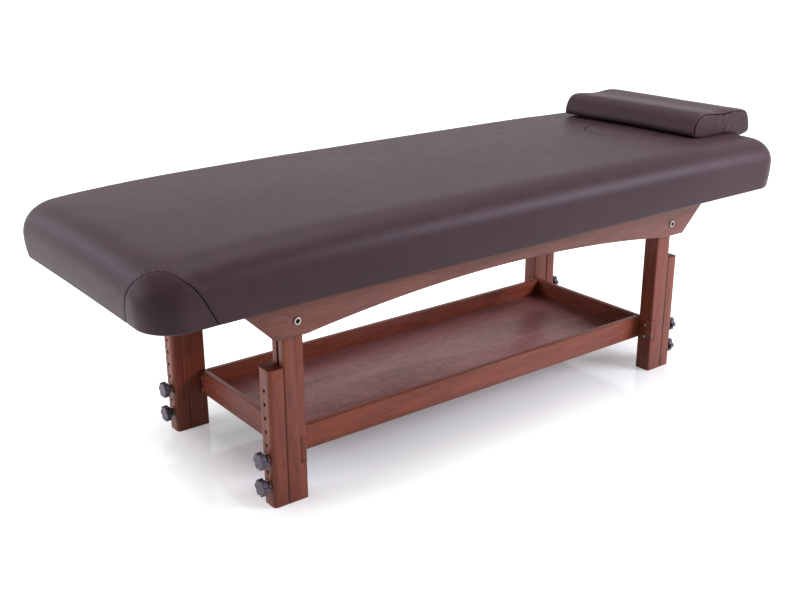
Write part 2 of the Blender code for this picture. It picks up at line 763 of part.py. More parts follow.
def build_cross_dowels():
    for end, end_sign, side, side_sign in each_corner():
        name = corner_name("cross_dowel", end, side)
        y = side_sign * POST_MID_Y
        bm = bmesh.new()
        add_rod(bm, (end_sign * (POST_MID_X - DOWEL_LENGTH / 2), y, APRON_BOLT_Z),
                (end_sign * dowel_end_x(), y, APRON_BOLT_Z), DOWEL_DIAMETER)
        steel = make_material(name, (0.60, 0.60, 0.60), 0.35, 1.0)
        dowel = place(name, finish_mesh(name, bm, smooth=True), steel)
        bm = bmesh.new()
        add_rod(bm, (end_sign * POST_MID_X, y - DOWEL_DIAMETER, APRON_BOLT_Z),
                (end_sign * POST_MID_X, y + DOWEL_DIAMETER, APRON_BOLT_Z), DOWEL_BORE)
        cut(dowel, place_cutter(f"{name}_bore", finish_mesh(f"{name}_bore", bm)))


# Tray

def tray_fixing_heights():
    half = TRAY_FIXING_SPACING / 2
    return TRAY_FIXING_MID_Z - half, TRAY_FIXING_MID_Z + half


def groove_cutter():
    """The groove that holds the panel's tongue, open only towards the tray's inside."""
    bm = bmesh.new()
    reach_x = POST_INNER_X + TRAY_GROOVE_DEPTH
    reach_y = TRAY_SIDE_INNER_Y + TRAY_GROOVE_DEPTH
    add_box(bm, (-reach_x, -reach_y, TRAY_TONGUE_BOTTOM - SEAT_GAP),
            (reach_x, reach_y, TRAY_TONGUE_TOP + SEAT_GAP))
    return place_cutter("tray_groove_cutter", finish_mesh("tray_groove_cutter", bm))


def tray_fixing_places():
    for end, end_sign, side, side_sign in each_corner():
        for z in tray_fixing_heights():
            yield end, end_sign, side, side_sign, z


def tray_screw_y(side_sign):
    return side_sign * (TRAY_SIDE_OUTER_Y - TRAY_RAIL_THICK / 2)


def tray_bolts_form(rail_end):
    """The bolts that hold an end rail to its posts, made one with the rail."""
    bm = bmesh.new()
    for end, end_sign, _, side_sign, z in tray_fixing_places():
        if end == rail_end:
            matrix = facing((end_sign, 0, 0), (end_sign * POST_INNER_X, side_sign * POST_MID_Y, z))
            add_socket_bolt(bm, matrix, TRAY_BOLT_HEAD_DIAMETER, TRAY_BOLT_HEAD_THICK,
                            TRAY_BOLT_DIAMETER, TRAY_BOLT_GRIP)
    name = f"tray_bolts_form_{rail_end}"
    return place_cutter(name, finish_mesh(name, bm, smooth=True))


def tray_sockets_cutter():
    bm = bmesh.new()
    for _, end_sign, _, side_sign, z in tray_fixing_places():
        matrix = facing((end_sign, 0, 0), (end_sign * POST_INNER_X, side_sign * POST_MID_Y, z))
        add_hex_socket(bm, matrix, TRAY_SOCKET, TRAY_SOCKET_DEPTH, TRAY_BOLT_HEAD_THICK)
    return place_cutter("tray_sockets_cutter", finish_mesh("tray_sockets_cutter", bm))


def tray_screws_form(rail_side):
    """The screws through the end rails, made one with the side rail that they hold."""
    bm = bmesh.new()
    for _, end_sign, side, side_sign, z in tray_fixing_places():
        if side == rail_side:
            seat = (end_sign * (TRAY_END_OUTER_X + SEAT_GAP), tray_screw_y(side_sign), z)
            add_socket_bolt(bm, facing((-end_sign, 0, 0), seat), TRAY_SCREW_HEAD_DIAMETER,
                            TRAY_SCREW_HEAD_THICK, TRAY_SCREW_DIAMETER, TRAY_RAIL_THICK + TRAY_SCREW_GRIP)
    name = f"tray_screws_form_{rail_side}"
    return place_cutter(name, finish_mesh(name, bm, smooth=True))


def tray_bores_cutter():
    bm = bmesh.new()
    for _, end_sign, _, side_sign, z in tray_fixing_places():
        y = tray_screw_y(side_sign)
        add_rod(bm, (end_sign * (POST_INNER_X - OVERRUN), y, z),
                (end_sign * (TRAY_END_OUTER_X + OVERRUN), y, z),
                TRAY_SCREW_DIAMETER + 2 * BORE_CLEARANCE)
    return place_cutter("tray_bores_cutter", finish_mesh("tray_bores_cutter", bm))


def tray_rail(name, x_span, y_span, groove):
    mesh = box_mesh(name, x_span, y_span, (TRAY_BOTTOM, TRAY_TOP))
    rail = place(name, mesh, make_material(name, (0.20, 0.055, 0.030), 0.38))
    ease_edges(rail, WOOD_EDGE_R)
    cut(rail, groove)
    return rail


def build_tray():
    groove = groove_cutter()
    bores = tray_bores_cutter()
    sockets = tray_sockets_cutter()
    for end, end_sign in ENDS.items():
        rail = tray_rail(f"tray_end_rail_{end}", (end_sign * POST_INNER_X, end_sign * TRAY_END_OUTER_X),
                         (-POST_OUTER_Y, POST_OUTER_Y), groove)
        cut(rail, bores)
        cut(rail, tray_bolts_form(end), "UNION")
        cut(rail, sockets)
    reach = POST_INNER_X - SEAT_GAP
    for side, side_sign in SIDES.items():
        rail = tray_rail(f"tray_side_rail_{side}", (-reach, reach),
                         (side_sign * TRAY_SIDE_INNER_Y, side_sign * TRAY_SIDE_OUTER_Y), groove)
        cut(rail, tray_screws_form(side), "UNION")
    build_tray_panel()


def build_tray_panel():
    """The panel, its edge rebated from above to the tongue that runs in the rails' grooves."""
    panel_x = POST_INNER_X + TRAY_GROOVE_DEPTH - SEAT_GAP
    panel_y = TRAY_SIDE_INNER_Y + TRAY_GROOVE_DEPTH - SEAT_GAP
    bm = bmesh.new()
    add_box(bm, (-panel_x, -panel_y, TRAY_TONGUE_BOTTOM), (panel_x, panel_y, TRAY_TONGUE_TOP))
    top = max(bm.faces, key=lambda face: face.calc_center_median().z)
    bmesh.ops.inset_region(bm, faces=[top], thickness=TRAY_GROOVE_DEPTH, use_even_offset=True)
    field = bmesh.ops.extrude_face_region(bm, geom=[top])["geom"]
    bmesh.ops.delete(bm, geom=[top], context="FACES")
    bmesh.ops.translate(bm, vec=(0, 0, TRAY_PANEL_TOP - TRAY_TONGUE_TOP),
                        verts=[item for item in field if isinstance(item, bmesh.types.BMVert)])
    place("tray_panel", finish_mesh("tray_panel", bm), make_material("tray_panel", (0.17, 0.075, 0.055), 0.45))


# Legs that slide down on the posts

def leg_hole_height(index):
    return LEG_LENGTH - LEG_HOLE_DROP - index * LEG_HOLE_PITCH


def leg_outline(end_sign):
    """Plan of a leg about its post's middle line, with its two outer corners round."""
    half_y = POST_SIZE_Y / 2
    edge = POST_EASED_EDGE
    radius = min(LEG_ROUND, half_y, LEG_SIZE_X - edge)
    half = [(-LEG_SIZE_X / 2, half_y - edge), (edge - LEG_SIZE_X / 2, half_y)]
    for i in range(CORNER_STEPS - 1):
        angle = math.pi / 2 * (1 - i / (CORNER_STEPS - 2))
        half.append((LEG_SIZE_X / 2 - radius + radius * math.cos(angle),
                     half_y - radius + radius * math.sin(angle)))
    whole = half + [(x, -y) for x, y in reversed(half)]
    return [(end_sign * x, y) for x, y in whole]


def leg_mesh(name, end_sign):
    bm = bmesh.new()
    add_prism(bm, leg_outline(end_sign), 0.0, LEG_LENGTH, "Z")
    return finish_mesh(name, bm)


def leg_hole_cutter(name, location, half_reach, diameter):
    bm = bmesh.new()
    for index in range(LEG_HOLE_COUNT):
        z = leg_hole_height(index)
        add_rod(bm, (-half_reach, 0, z), (half_reach, 0, z), diameter)
    cutter = place_cutter(name, finish_mesh(name, bm))
    cutter.location = location
    return cutter


def build_leg(end, end_sign, side, side_sign):
    """One leg with its nut rail and washers, on an empty that slides down with them."""
    origin = (end_sign * LEG_MID_X, side_sign * POST_MID_Y, 0.0)
    slide = place_empty(corner_name("leg_slide", end, side), origin)
    name = corner_name("outer_leg", end, side)
    wood = make_material(name, (0.21, 0.060, 0.032), 0.38)
    leg = place(name, leg_mesh(name, end_sign), wood, parent=slide)
    cut(leg, leg_hole_cutter(f"{name}_holes", origin, LEG_SIZE_X, LEG_HOLE_DIAMETER))
    build_nut_rail(slide, end, end_sign, side, side_sign)
    for height in KNOB_HOLES:
        build_washer(slide, end, end_sign, side, height)
        build_knob(slide, end, end_sign, side, height)


def build_nut_rail(slide, end, end_sign, side, side_sign):
    name = corner_name("nut_rail", end, side)
    outer_x = POST_OUTER_X - SLOT_LIP - SEAT_GAP - LEG_MID_X
    low = leg_hole_height(LEG_HOLE_COUNT - 1) - NUT_RAIL_END
    high = leg_hole_height(0) + NUT_RAIL_END
    mesh = box_mesh(name, (end_sign * outer_x, end_sign * (outer_x - NUT_RAIL_THICK)),
                    (-NUT_RAIL_WIDTH / 2, NUT_RAIL_WIDTH / 2), (low, high))
    steel = make_material(name, (0.55, 0.55, 0.55), 0.4, 1.0)
    rail = place(name, mesh, steel, parent=slide)
    middle = (end_sign * (LEG_MID_X + outer_x - NUT_RAIL_THICK / 2), side_sign * POST_MID_Y, 0.0)
    cut(rail, leg_hole_cutter(f"{name}_holes", middle, NUT_RAIL_THICK, NUT_RAIL_HOLE))


def build_washer(slide, end, end_sign, side, height):
    name = corner_name("washer", end, side) + f"_{height}"
    seat = end_sign * (LEG_SIZE_X / 2 + SEAT_GAP)
    profile = [(0.0, LEG_HOLE_DIAMETER / 2), (0.0, WASHER_DIAMETER / 2),
               (WASHER_THICK, WASHER_DIAMETER / 2), (WASHER_THICK, LEG_HOLE_DIAMETER / 2)]
    bm = bmesh.new()
    matrix = facing((end_sign, 0, 0), (seat, 0, leg_hole_height(KNOB_HOLES[height])))
    add_turned(bm, profile, matrix)
    steel = make_material(name, (0.62, 0.60, 0.58), 0.3, 1.0)
    place(name, finish_mesh(name, bm, smooth=True), steel, parent=slide)


# Star knobs

def star_radius(angle):
    """Radius of the grip: round lobes with hollows between them."""
    hollow = 0.5 - 0.5 * math.cos(KNOB_LOBES * angle)
    return KNOB_DIAMETER / 2 - KNOB_LOBE_DEPTH * hollow ** KNOB_HOLLOW_POWER


def star_ring(bm, along, inset, star_share):
    """A ring that goes from a circle to the star as star_share goes from 0 to 1."""
    count = KNOB_LOBES * KNOB_STEPS_PER_LOBE
    hub = KNOB_HUB_DIAMETER / 2
    ring = []
    for i in range(count):
        angle = math.tau * i / count
        radius = hub + (star_radius(angle) - hub) * star_share - inset
        ring.append(bm.verts.new((along, radius * math.cos(angle), radius * math.sin(angle))))
    return ring


def knob_mesh():
    """A star grip on a round hub, bored for its screw, with its seat at x = 0 facing -X."""
    bm = bmesh.new()
    bore = SCREW_DIAMETER / 2 + SEAT_GAP
    bore_end = SCREW_IN_KNOB + SEAT_GAP
    count = KNOB_LOBES * KNOB_STEPS_PER_LOBE
    high = KNOB_HUB_LENGTH + KNOB_GRIP_THICK
    edge = KNOB_EDGE_R
    rings = [[bm.verts.new((bore_end, 0, 0))]]
    for along in (bore_end, 0.0):
        angles = [math.tau * i / count for i in range(count)]
        rings.append([bm.verts.new((along, bore * math.cos(a), bore * math.sin(a))) for a in angles])
    rings.append(star_ring(bm, 0.0, 0.0, 0.0))
    rings.append(star_ring(bm, KNOB_HUB_LENGTH, 0.0, 0.0))
    rings.append(star_ring(bm, KNOB_HUB_LENGTH + edge / 2, edge / 3, 1.0))
    rings.append(star_ring(bm, KNOB_HUB_LENGTH + edge, 0.0, 1.0))
    rings.append(star_ring(bm, high - edge, 0.0, 1.0))
    rings.append(star_ring(bm, high - edge / 3, edge / 3, 1.0))
    rings.append(star_ring(bm, high, edge, KNOB_FACE_SHARE))
    rings.append([bm.verts.new((high, 0, 0))])
    for ring, other in zip(rings, rings[1:]):
        join_rings(bm, ring, other)
    return finish_mesh("knob", bm, smooth=True)


def screw_mesh():
    """A headless screw from inside the knob to just past the nut rail."""
    seat = LEG_SIZE_X + 2 * SEAT_GAP + WASHER_THICK
    tip = seat + SLOT_LIP + 2 * SEAT_GAP + NUT_RAIL_THICK + SCREW_PAST_RAIL
    radius = SCREW_DIAMETER / 2
    bm = bmesh.new()
    tip_radius = radius * SCREW_TIP_SHARE
    profile = [(-tip, 0.0), (-tip, tip_radius), (tip_radius - tip, radius),
               (SCREW_IN_KNOB, radius), (SCREW_IN_KNOB, 0.0)]
    add_turned(bm, profile, Matrix.Identity(4))
    return finish_mesh("knob_screw", bm, smooth=True)


def build_knob(slide, end, end_sign, side, height):
    """A knob and its screw, turning together on the screw's axis."""
    z = leg_hole_height(KNOB_HOLES[height])
    seat_x = LEG_SIZE_X / 2 + 2 * SEAT_GAP + WASHER_THICK
    turn = 0.0 if end_sign > 0 else math.pi
    axis = place_empty(corner_name("knob_axis", end, side) + f"_{height}", (end_sign * seat_x, 0, z), slide)
    name = corner_name("knob", end, side) + f"_{height}"
    black = make_material(name, (0.020, 0.018, 0.020), 0.45)
    place(name, knob_mesh(), black, parent=axis, turn_z=turn)
    name = corner_name("knob_screw", end, side) + f"_{height}"
    steel = make_material(name, (0.60, 0.60, 0.60), 0.35, 1.0)
    place(name, screw_mesh(), steel, parent=axis, turn_z=turn)


def main():
    clear_scene()
    build_top()
    build_pillow()
    build_side_aprons()
    build_cross_rails()
    build_posts()
    build_apron_bolts()
    build_cross_dowels()
    build_tray()
    for end, end_sign, side, side_sign in each_corner():
        build_leg(end, end_sign, side, side_sign)


main()
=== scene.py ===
"""Looks of a wooden massage table with an upholstered top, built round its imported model."""

import math
import bmesh
import bpy
import numpy as np
from bpy.props import FloatProperty, FloatVectorProperty, IntProperty, PointerProperty
from mathutils import Matrix, Vector, noise
from mathutils.kdtree import KDTree


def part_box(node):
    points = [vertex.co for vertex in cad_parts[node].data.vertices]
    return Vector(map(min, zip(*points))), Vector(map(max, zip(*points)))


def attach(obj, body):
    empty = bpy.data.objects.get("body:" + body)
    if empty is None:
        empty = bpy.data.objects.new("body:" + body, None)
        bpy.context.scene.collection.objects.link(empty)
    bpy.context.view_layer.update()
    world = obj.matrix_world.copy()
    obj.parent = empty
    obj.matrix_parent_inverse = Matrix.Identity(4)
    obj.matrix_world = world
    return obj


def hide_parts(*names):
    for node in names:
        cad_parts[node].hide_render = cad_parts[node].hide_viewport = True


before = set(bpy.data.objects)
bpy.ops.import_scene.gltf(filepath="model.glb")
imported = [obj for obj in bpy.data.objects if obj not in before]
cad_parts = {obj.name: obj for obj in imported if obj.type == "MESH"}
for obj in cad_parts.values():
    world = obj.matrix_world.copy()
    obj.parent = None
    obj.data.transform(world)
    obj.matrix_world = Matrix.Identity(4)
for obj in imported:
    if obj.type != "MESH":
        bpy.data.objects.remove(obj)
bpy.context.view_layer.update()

bl_info = {
    "name": "Massage table",
    "version": (1, 0, 0),
    "blender": (4, 5, 0),
    "location": "3D View > Sidebar > Table",
    "description": "Cover, wood, fittings and stage of a massage table",
    "category": "Add Mesh",
}

ENDS = {"foot": -1, "head": 1}
SIDES = {"front": -1, "back": 1}
KNOB_HEIGHTS = ("upper", "lower")

CUSHION_LOW, CUSHION_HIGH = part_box("cushion")
PLUG_LOW, PLUG_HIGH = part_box("face_plug")
BOARD_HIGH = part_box("base_board")[1]
POST_LOW, POST_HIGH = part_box("post_head_back")
CLEARANCE = 0.0003  # between neighbouring pieces
PLUG_GAP = 0.0006  # between the face hole and its plug


# Sizes and colours that a user may change

class CoverSettings(bpy.types.PropertyGroup):
    colour: FloatVectorProperty(
        name="Cover colour", description="Colour of the leatherette", subtype="COLOR",
        size=3, min=0, max=1, default=(0.049, 0.0265, 0.0300))
    roughness: FloatProperty(
        name="Roughness", description="How matt the leatherette is", subtype="FACTOR",
        min=0, max=1, default=0.45)
    grain: FloatProperty(
        name="Grain", description="Size of the pebbles in the leatherette", unit="LENGTH",
        min=0.0003, max=0.005, default=0.0011)
    corner_radius: FloatProperty(
        name="Corner radius", description="Radius of the top's corners seen from above",
        unit="LENGTH", default=0.085)
    top_edge_radius: FloatProperty(
        name="Top edge", description="Radius of the rounded top edge", unit="LENGTH", default=0.065)
    top_edge_width: FloatProperty(
        name="Top edge width", description="How far the rounding reaches into the top",
        unit="LENGTH", default=0.085)
    edge_softness: FloatProperty(
        name="Edge softness",
        description="2 rounds the top edge as a circle, more runs softly into the top",
        min=2, max=4, default=2.6)
    bottom_edge_radius: FloatProperty(
        name="Bottom edge", description="Radius of the lower edge", unit="LENGTH", default=0.008)
    draw_in: FloatProperty(
        name="Draw-in", description="How far the lower edge is drawn in",
        unit="LENGTH", default=0.005)
    foot_sag: FloatProperty(
        name="Foot sag", description="Fall of the lower edge at the foot end's corners",
        unit="LENGTH", default=0.005)
    foot_droop: FloatProperty(
        name="Foot droop", description="Fall of the top towards the foot end",
        unit="LENGTH", default=0.029)
    corner_droop: FloatProperty(
        name="Corner droop", description="More fall at the foot end's two corners",
        unit="LENGTH", default=0.010)
    head_droop: FloatProperty(
        name="Head droop", description="Fall of the top towards the head end",
        unit="LENGTH", default=0.010)
    crown: FloatProperty(
        name="Crown", description="Rise of the top towards its middle",
        unit="LENGTH", default=0.004)
    hole_rim: FloatProperty(
        name="Hole rim", description="Rounding of the face hole and of its plug",
        unit="LENGTH", default=0.0048)
    swell: FloatProperty(
        name="Swell", description="Most that the stuffing pushes the cover out",
        unit="LENGTH", default=0.0022)
    seam_width: FloatProperty(
        name="Seam width", description="Width of the groove along a seam",
        unit="LENGTH", default=0.0013)


class WoodSettings(bpy.types.PropertyGroup):
    dark: FloatVectorProperty(
        name="Dark grain", description="Colour of the grain's dark lines", subtype="COLOR",
        size=3, min=0, max=1, default=(0.070, 0.0112, 0.0056))
    light: FloatVectorProperty(
        name="Light grain", description="Colour of the wood between the lines", subtype="COLOR",
        size=3, min=0, max=1, default=(0.217, 0.0520, 0.0250))
    edge: FloatProperty(
        name="Eased edge", description="Rounding of the wooden edges",
        unit="LENGTH", default=0.0012)
    lacquer: FloatProperty(
        name="Lacquer roughness", description="How matt the lacquer is", subtype="FACTOR",
        min=0, max=1, default=0.42)


class FittingSettings(bpy.types.PropertyGroup):
    knob_colour: FloatVectorProperty(
        name="Knob colour", description="Colour of the moulded knobs", subtype="COLOR",
        size=3, min=0, max=1, default=(0.058, 0.040, 0.060))
    knob_diameter: FloatProperty(
        name="Knob diameter", description="Width over the lobes", unit="LENGTH", default=0.041)
    lobes: IntProperty(
        name="Lobes", description="Number of lobes on a knob", min=3, max=9, default=6)
    hub_diameter: FloatProperty(
        name="Hub diameter", description="Width of the knob's hub", unit="LENGTH", default=0.022)
    bolt_head: FloatProperty(
        name="Bolt head", description="Width of an apron bolt's head", unit="LENGTH", default=0.017)
    nickel_colour: FloatVectorProperty(
        name="Nickel colour", description="Colour of the plated fittings", subtype="COLOR",
        size=3, min=0, max=1, default=(0.40, 0.37, 0.34))


class StageSettings(bpy.types.PropertyGroup):
    fill: FloatProperty(
        name="Fill", description="Level of the light that comes from all round",
        min=0, max=2, default=0.23)
    overhead: FloatProperty(
        name="Overhead", description="Power of the lamp above the table", unit="POWER", default=56)
    foot_light: FloatProperty(
        name="Foot light", description="Power of the lamp beyond the foot end",
        unit="POWER", default=34)
    head_light: FloatProperty(
        name="Head light", description="Power of the lamp beyond the head end",
        unit="POWER", default=137)
    back_light: FloatProperty(
        name="Back light", description="Power of the lamp behind the foot end",
        unit="POWER", default=32)
    floor_colour: FloatVectorProperty(
        name="Floor colour", description="Colour of the floor", subtype="COLOR",
        size=3, min=0, max=1, default=(0.690, 0.722, 0.695))


def settings(kind):
    return getattr(bpy.context.scene, f"table_{kind}")


# Helpers for meshes

def take_only(piece):
    """Leave only this piece selected and active."""
    bpy.ops.object.select_all(action="DESELECT")
    piece.select_set(True)
    bpy.context.view_layer.objects.active = piece


def new_piece(name):
    """Name the object that a primitive operator has just added, and its mesh."""
    piece = bpy.context.view_layer.objects.active
    piece.name = name
    piece.data.name = name
    return piece


def apply_modifier(piece, kind, **values):
    take_only(piece)
    modifier = piece.modifiers.new(kind.title(), kind)
    for key, value in values.items():
        setattr(modifier, key, value)
    bpy.ops.object.modifier_apply(modifier=modifier.name)


def combine(piece, other, operation):
    """Join or cut a piece with another one, which is then removed."""
    apply_modifier(piece, "BOOLEAN", object=other, operation=operation, solver="EXACT")
    bpy.data.objects.remove(other)


def round_edges(piece, width, segments, degrees=40):
    """Bevel the edges that turn by more than an angle."""
    apply_modifier(piece, "BEVEL", width=width, segments=segments, limit_method="ANGLE",
                   angle_limit=math.radians(degrees))


def smooth_by_angle(piece, degrees=32):
    take_only(piece)
    bpy.ops.object.shade_smooth_by_angle(angle=math.radians(degrees))


def settle(piece):
    """Put the piece's place in its mesh, with its object at the origin."""
    take_only(piece)
    bpy.ops.object.transform_apply(location=True, rotation=True, scale=True)


def set_material(piece, material):
    piece.data.materials.clear()
    piece.data.materials.append(material)


def add_cylinder(name, radius, depth, centre, axis, sides=64):
    """A cylinder along X, Y or Z, centred on a point."""
    turns = {"X": (0, math.pi / 2, 0), "Y": (math.pi / 2, 0, 0), "Z": (0, 0, 0)}
    bpy.ops.object.select_all(action="DESELECT")
    bpy.ops.mesh.primitive_cylinder_add(vertices=sides, radius=radius, depth=depth,
                                        location=centre, rotation=turns[axis])
    piece = new_piece(name)
    settle(piece)
    return piece


def mesh_from_rings(name, rings, closed_loop):
    """A skin over rings of points that all have the same number of points."""
    count = len(rings[0])
    points = np.vstack(rings)
    pairs = len(rings) if closed_loop else len(rings) - 1
    column = np.arange(count)
    after = (column + 1) % count
    quads = []
    for number in range(pairs):
        low, high = number * count, (number + 1) % len(rings) * count
        quads.append(np.stack([low + column, low + after, high + after, high + column], 1))
    mesh = bpy.data.meshes.new(name)
    mesh.from_pydata(points.tolist(), [], np.vstack(quads).tolist())
    return mesh


def finish_skin(name, mesh):
    """Weld the skin's poles, turn its faces out and make it an object."""
    bm = bmesh.new()
    bm.from_mesh(mesh)
    bmesh.ops.remove_doubles(bm, verts=bm.verts, dist=1e-6)
    bmesh.ops.recalc_face_normals(bm, faces=bm.faces)
    if bm.calc_volume(signed=True) < 0:
        bmesh.ops.reverse_faces(bm, faces=bm.faces)
    for face in bm.faces:
        face.smooth = True
    bm.to_mesh(mesh)
    bm.free()
    piece = bpy.data.objects.new(name, mesh)
    bpy.context.scene.collection.objects.link(piece)
    return piece


def mesh_vectors(mesh, kind):
    values = np.empty(len(mesh.vertices) * 3, np.float32)
    mesh.vertices.foreach_get(kind, values)
    return values.reshape(-1, 3).astype(float)


def mesh_points(mesh):
    return mesh_vectors(mesh, "co")


def mesh_normals(mesh):
    return mesh_vectors(mesh, "normal")


def put_points(mesh, points):
    mesh.vertices.foreach_set("co", points.astype(np.float32).ravel())
    mesh.update()


def add_values(mesh, name, values):
    attribute = mesh.attributes.new(name, "FLOAT", "POINT")
    attribute.data.foreach_set("value", np.asarray(values, np.float32))


def box_middle(low, high):
    """Middle of a box, from its lowest and highest corners."""
    return [(a + b) / 2 for a, b in zip(low, high)]


def ramp(value, low, high):
    """0 below low, 1 above high, smooth between."""
    share = np.clip((value - low) / (high - low), 0, 1)
    return share * share * (3 - 2 * share)


def at_height(xy, height):
    """Points over flat places, all at one height or each at its own."""
    return np.column_stack([xy, np.broadcast_to(height, len(xy))])


def distances_along(line):
    """How far each point of a line of points is from its first, along the line."""
    steps = np.linalg.norm(np.diff(line, axis=0), axis=1)
    return np.concatenate([[0], np.cumsum(steps)])


def spread_evenly(line, steps, endpoint=True):
    """Points at even distances along a flat line of points."""
    span = distances_along(line)
    at = np.linspace(0, span[-1], steps, endpoint=endpoint)
    return np.column_stack([np.interp(at, span, line[:, axis]) for axis in (0, 1)])


# Shape of the upholstered top

HALF_X = (CUSHION_HIGH.x - CUSHION_LOW.x) / 2
HALF_Y = (CUSHION_HIGH.y - CUSHION_LOW.y) / 2
UNDERSIDE = CUSHION_LOW.z
TOP_LEVEL = UNDERSIDE + 0.143  # of the top's edge, before the crown and the droop
HOLE_CENTRE = np.array(box_middle(PLUG_LOW, PLUG_HIGH)[:2])
HOLE_HALF = np.array(PLUG_HIGH[:2]) - HOLE_CENTRE + PLUG_GAP
RECESS_INSET = HALF_X - BOARD_HIGH.x - CLEARANCE
RECESS_TOP = BOARD_HIGH.z + CLEARANCE
RECESS_LIP = 0.001  # chamfer where the recess meets the underside
FINE_REACH = 0.165  # of the fine columns to both sides of the seamed corner's middle
FINE_STEP, COARSE_STEP = 0.003, 0.0085  # between columns, at the seam and elsewhere
RIM_ANGLES = np.linspace(0, math.pi / 2, 7)  # steps of a small rounded edge

# The corner seam, as (run along the corner, height up the side) in metres
SEAM_ROUTE = (
    (-0.108, -0.004), (-0.102, 0.0152), (-0.095, 0.0338), (-0.090, 0.0488), (-0.084, 0.067),
    (-0.076, 0.0822), (-0.0685, 0.0958), (-0.057, 0.1098), (-0.040, 0.120), (-0.014, 0.1265),
    (0.0155, 0.126), (0.040, 0.1198), (0.0575, 0.1085), (0.071, 0.095), (0.0805, 0.0818),
    (0.0915, 0.0635), (0.1005, 0.0465), (0.1105, 0.0272), (0.121, 0.0088), (0.127, -0.004),
)


def droop(x, y):
    """Fall of the top towards its ends, most at the two foot corners."""
    cover = settings("cover")
    far, wide = np.abs(x / HALF_X), np.abs(y / HALF_Y)
    end = np.where(x > 0, cover.head_droop, cover.foot_droop)
    corner = np.where(x > 0, 0.0, cover.corner_droop) * far ** 8 * wide ** 8
    return end * far ** 4 * (0.5 + 0.5 * wide ** 2) + corner


def sag(x, y):
    """Fall of the lower edge towards the foot end's corners."""
    share = ramp(-x / HALF_X, 0.55, 1.0) * (0.4 + 0.6 * (y / HALF_Y) ** 2)
    return settings("cover").foot_sag * share


def crown(x, y):
    """Rise of the top from its rounded edges to its middle."""
    cover = settings("cover")
    rise = np.ones_like(x)
    for inset in (HALF_X - np.abs(x), HALF_Y - np.abs(y)):
        rise = rise * ramp(inset, cover.top_edge_width, HALF_Y)
    return cover.crown * rise


def top_height(x, y):
    return TOP_LEVEL - droop(x, y) + crown(x, y)


def bed_height(x, y):
    """Level of the top's skin under the pillow, with the rounding of the head end."""
    cover = settings("cover")
    lean = np.clip(1 - (HALF_X - x) / cover.top_edge_width, 0, 1) ** (cover.edge_softness / 2)
    return top_height(x, y) - cover.top_edge_radius * (1 - np.sqrt(1 - lean ** 2)) + CLEARANCE


def outline_columns():
    """Distances along the top's outline, from the near foot corner, finest at its seam."""
    radius = settings("cover").corner_radius
    rest = 4 * (HALF_X + HALF_Y - 2 * radius) + math.tau * radius - 2 * FINE_REACH
    fine = np.arange(-FINE_REACH, FINE_REACH, FINE_STEP)
    count = int(rest / COARSE_STEP)
    return np.concatenate([fine, FINE_REACH + np.arange(count) * rest / count])


def outline_at(run):
    """Place and outward direction on the outline, at distances from the corner's middle."""
    radius = settings("cover").corner_radius
    long_run, short_run = 2 * (HALF_X - radius), 2 * (HALF_Y - radius)
    arc = math.pi / 2 * radius
    run = np.mod(run + arc / 2, 2 * (long_run + short_run) + 4 * arc)
    place = np.zeros((len(run), 2))
    out = np.zeros((len(run), 2))
    start = 0.0
    corners = ((-1, -1, long_run), (1, -1, short_run), (1, 1, long_run), (-1, 1, short_run))
    for index, (sign_x, sign_y, straight) in enumerate(corners):
        centre = np.array([sign_x * (HALF_X - radius), sign_y * (HALF_Y - radius)])
        first = math.pi + index * math.pi / 2
        on_arc = (run >= start) & (run < start + arc)
        angle = first + (run[on_arc] - start) / radius
        out[on_arc] = np.stack([np.cos(angle), np.sin(angle)], 1)
        place[on_arc] = centre + radius * out[on_arc]
        start += arc
        on_line = (run >= start) & (run < start + straight)
        angle = first + math.pi / 2
        normal = np.array([math.cos(angle), math.sin(angle)])
        along = np.array([-normal[1], normal[0]])
        out[on_line] = normal
        place[on_line] = centre + radius * normal + (run[on_line] - start)[:, None] * along
        start += straight
    return place, out


def edge_inset(angle):
    """Inset of the rounded top edge at an angle from the side (0) to the top (a quarter turn)."""
    cover = settings("cover")
    return cover.top_edge_width * (1 - np.maximum(np.cos(angle), 0) ** (2 / cover.edge_softness))


def side_rings():
    """(inset, value, kind) up the visible side. The value is a drop or rise in metres on the
    two edges and a share of the height between them."""
    cover = settings("cover")
    low, draw, high = cover.bottom_edge_radius, cover.draw_in, cover.top_edge_radius
    rings = [(draw + low * (1 - math.sin(angle)), low * (1 - math.cos(angle)), "under")
             for angle in RIM_ANGLES]
    rings += [(draw * (1 - share) ** 2, share, "side") for share in np.linspace(0, 1, 12)[1:-1]]
    rings += [(edge_inset(angle), high * (1 - math.sin(angle)), "edge")
              for angle in np.linspace(0, math.pi / 2, 32)]
    return rings


def side_points(place, out, inset, value, kind):
    """One ring of the visible side, of a kind that side_rings gives."""
    cover = settings("cover")
    xy = place - out * inset
    underside, top = UNDERSIDE - sag(*xy.T), TOP_LEVEL - droop(*xy.T)
    if kind == "under":
        return at_height(xy, underside + value)
    if kind == "edge":
        return at_height(xy, top - value)
    low, high = underside + cover.bottom_edge_radius, top - cover.top_edge_radius
    return at_height(xy, low + (high - low) * value)


def oval_points(directions, grow):
    """Points of the face hole's outline in given directions from its centre."""
    reach = 1 / np.linalg.norm(directions / (HOLE_HALF + grow), axis=1)
    return HOLE_CENTRE + directions * reach[:, None]


def rim_rings(directions, level, start, side):
    """Rings down a rounded rim from its level: the hole's (side 1) or the plug's (side -1)."""
    rim = settings("cover").hole_rim
    rings = []
    for angle in RIM_ANGLES[1:]:
        xy = oval_points(directions, start + side * rim * (1 - math.sin(angle)))
        rings.append(at_height(xy, level - rim * (1 - math.cos(angle))))
    return rings


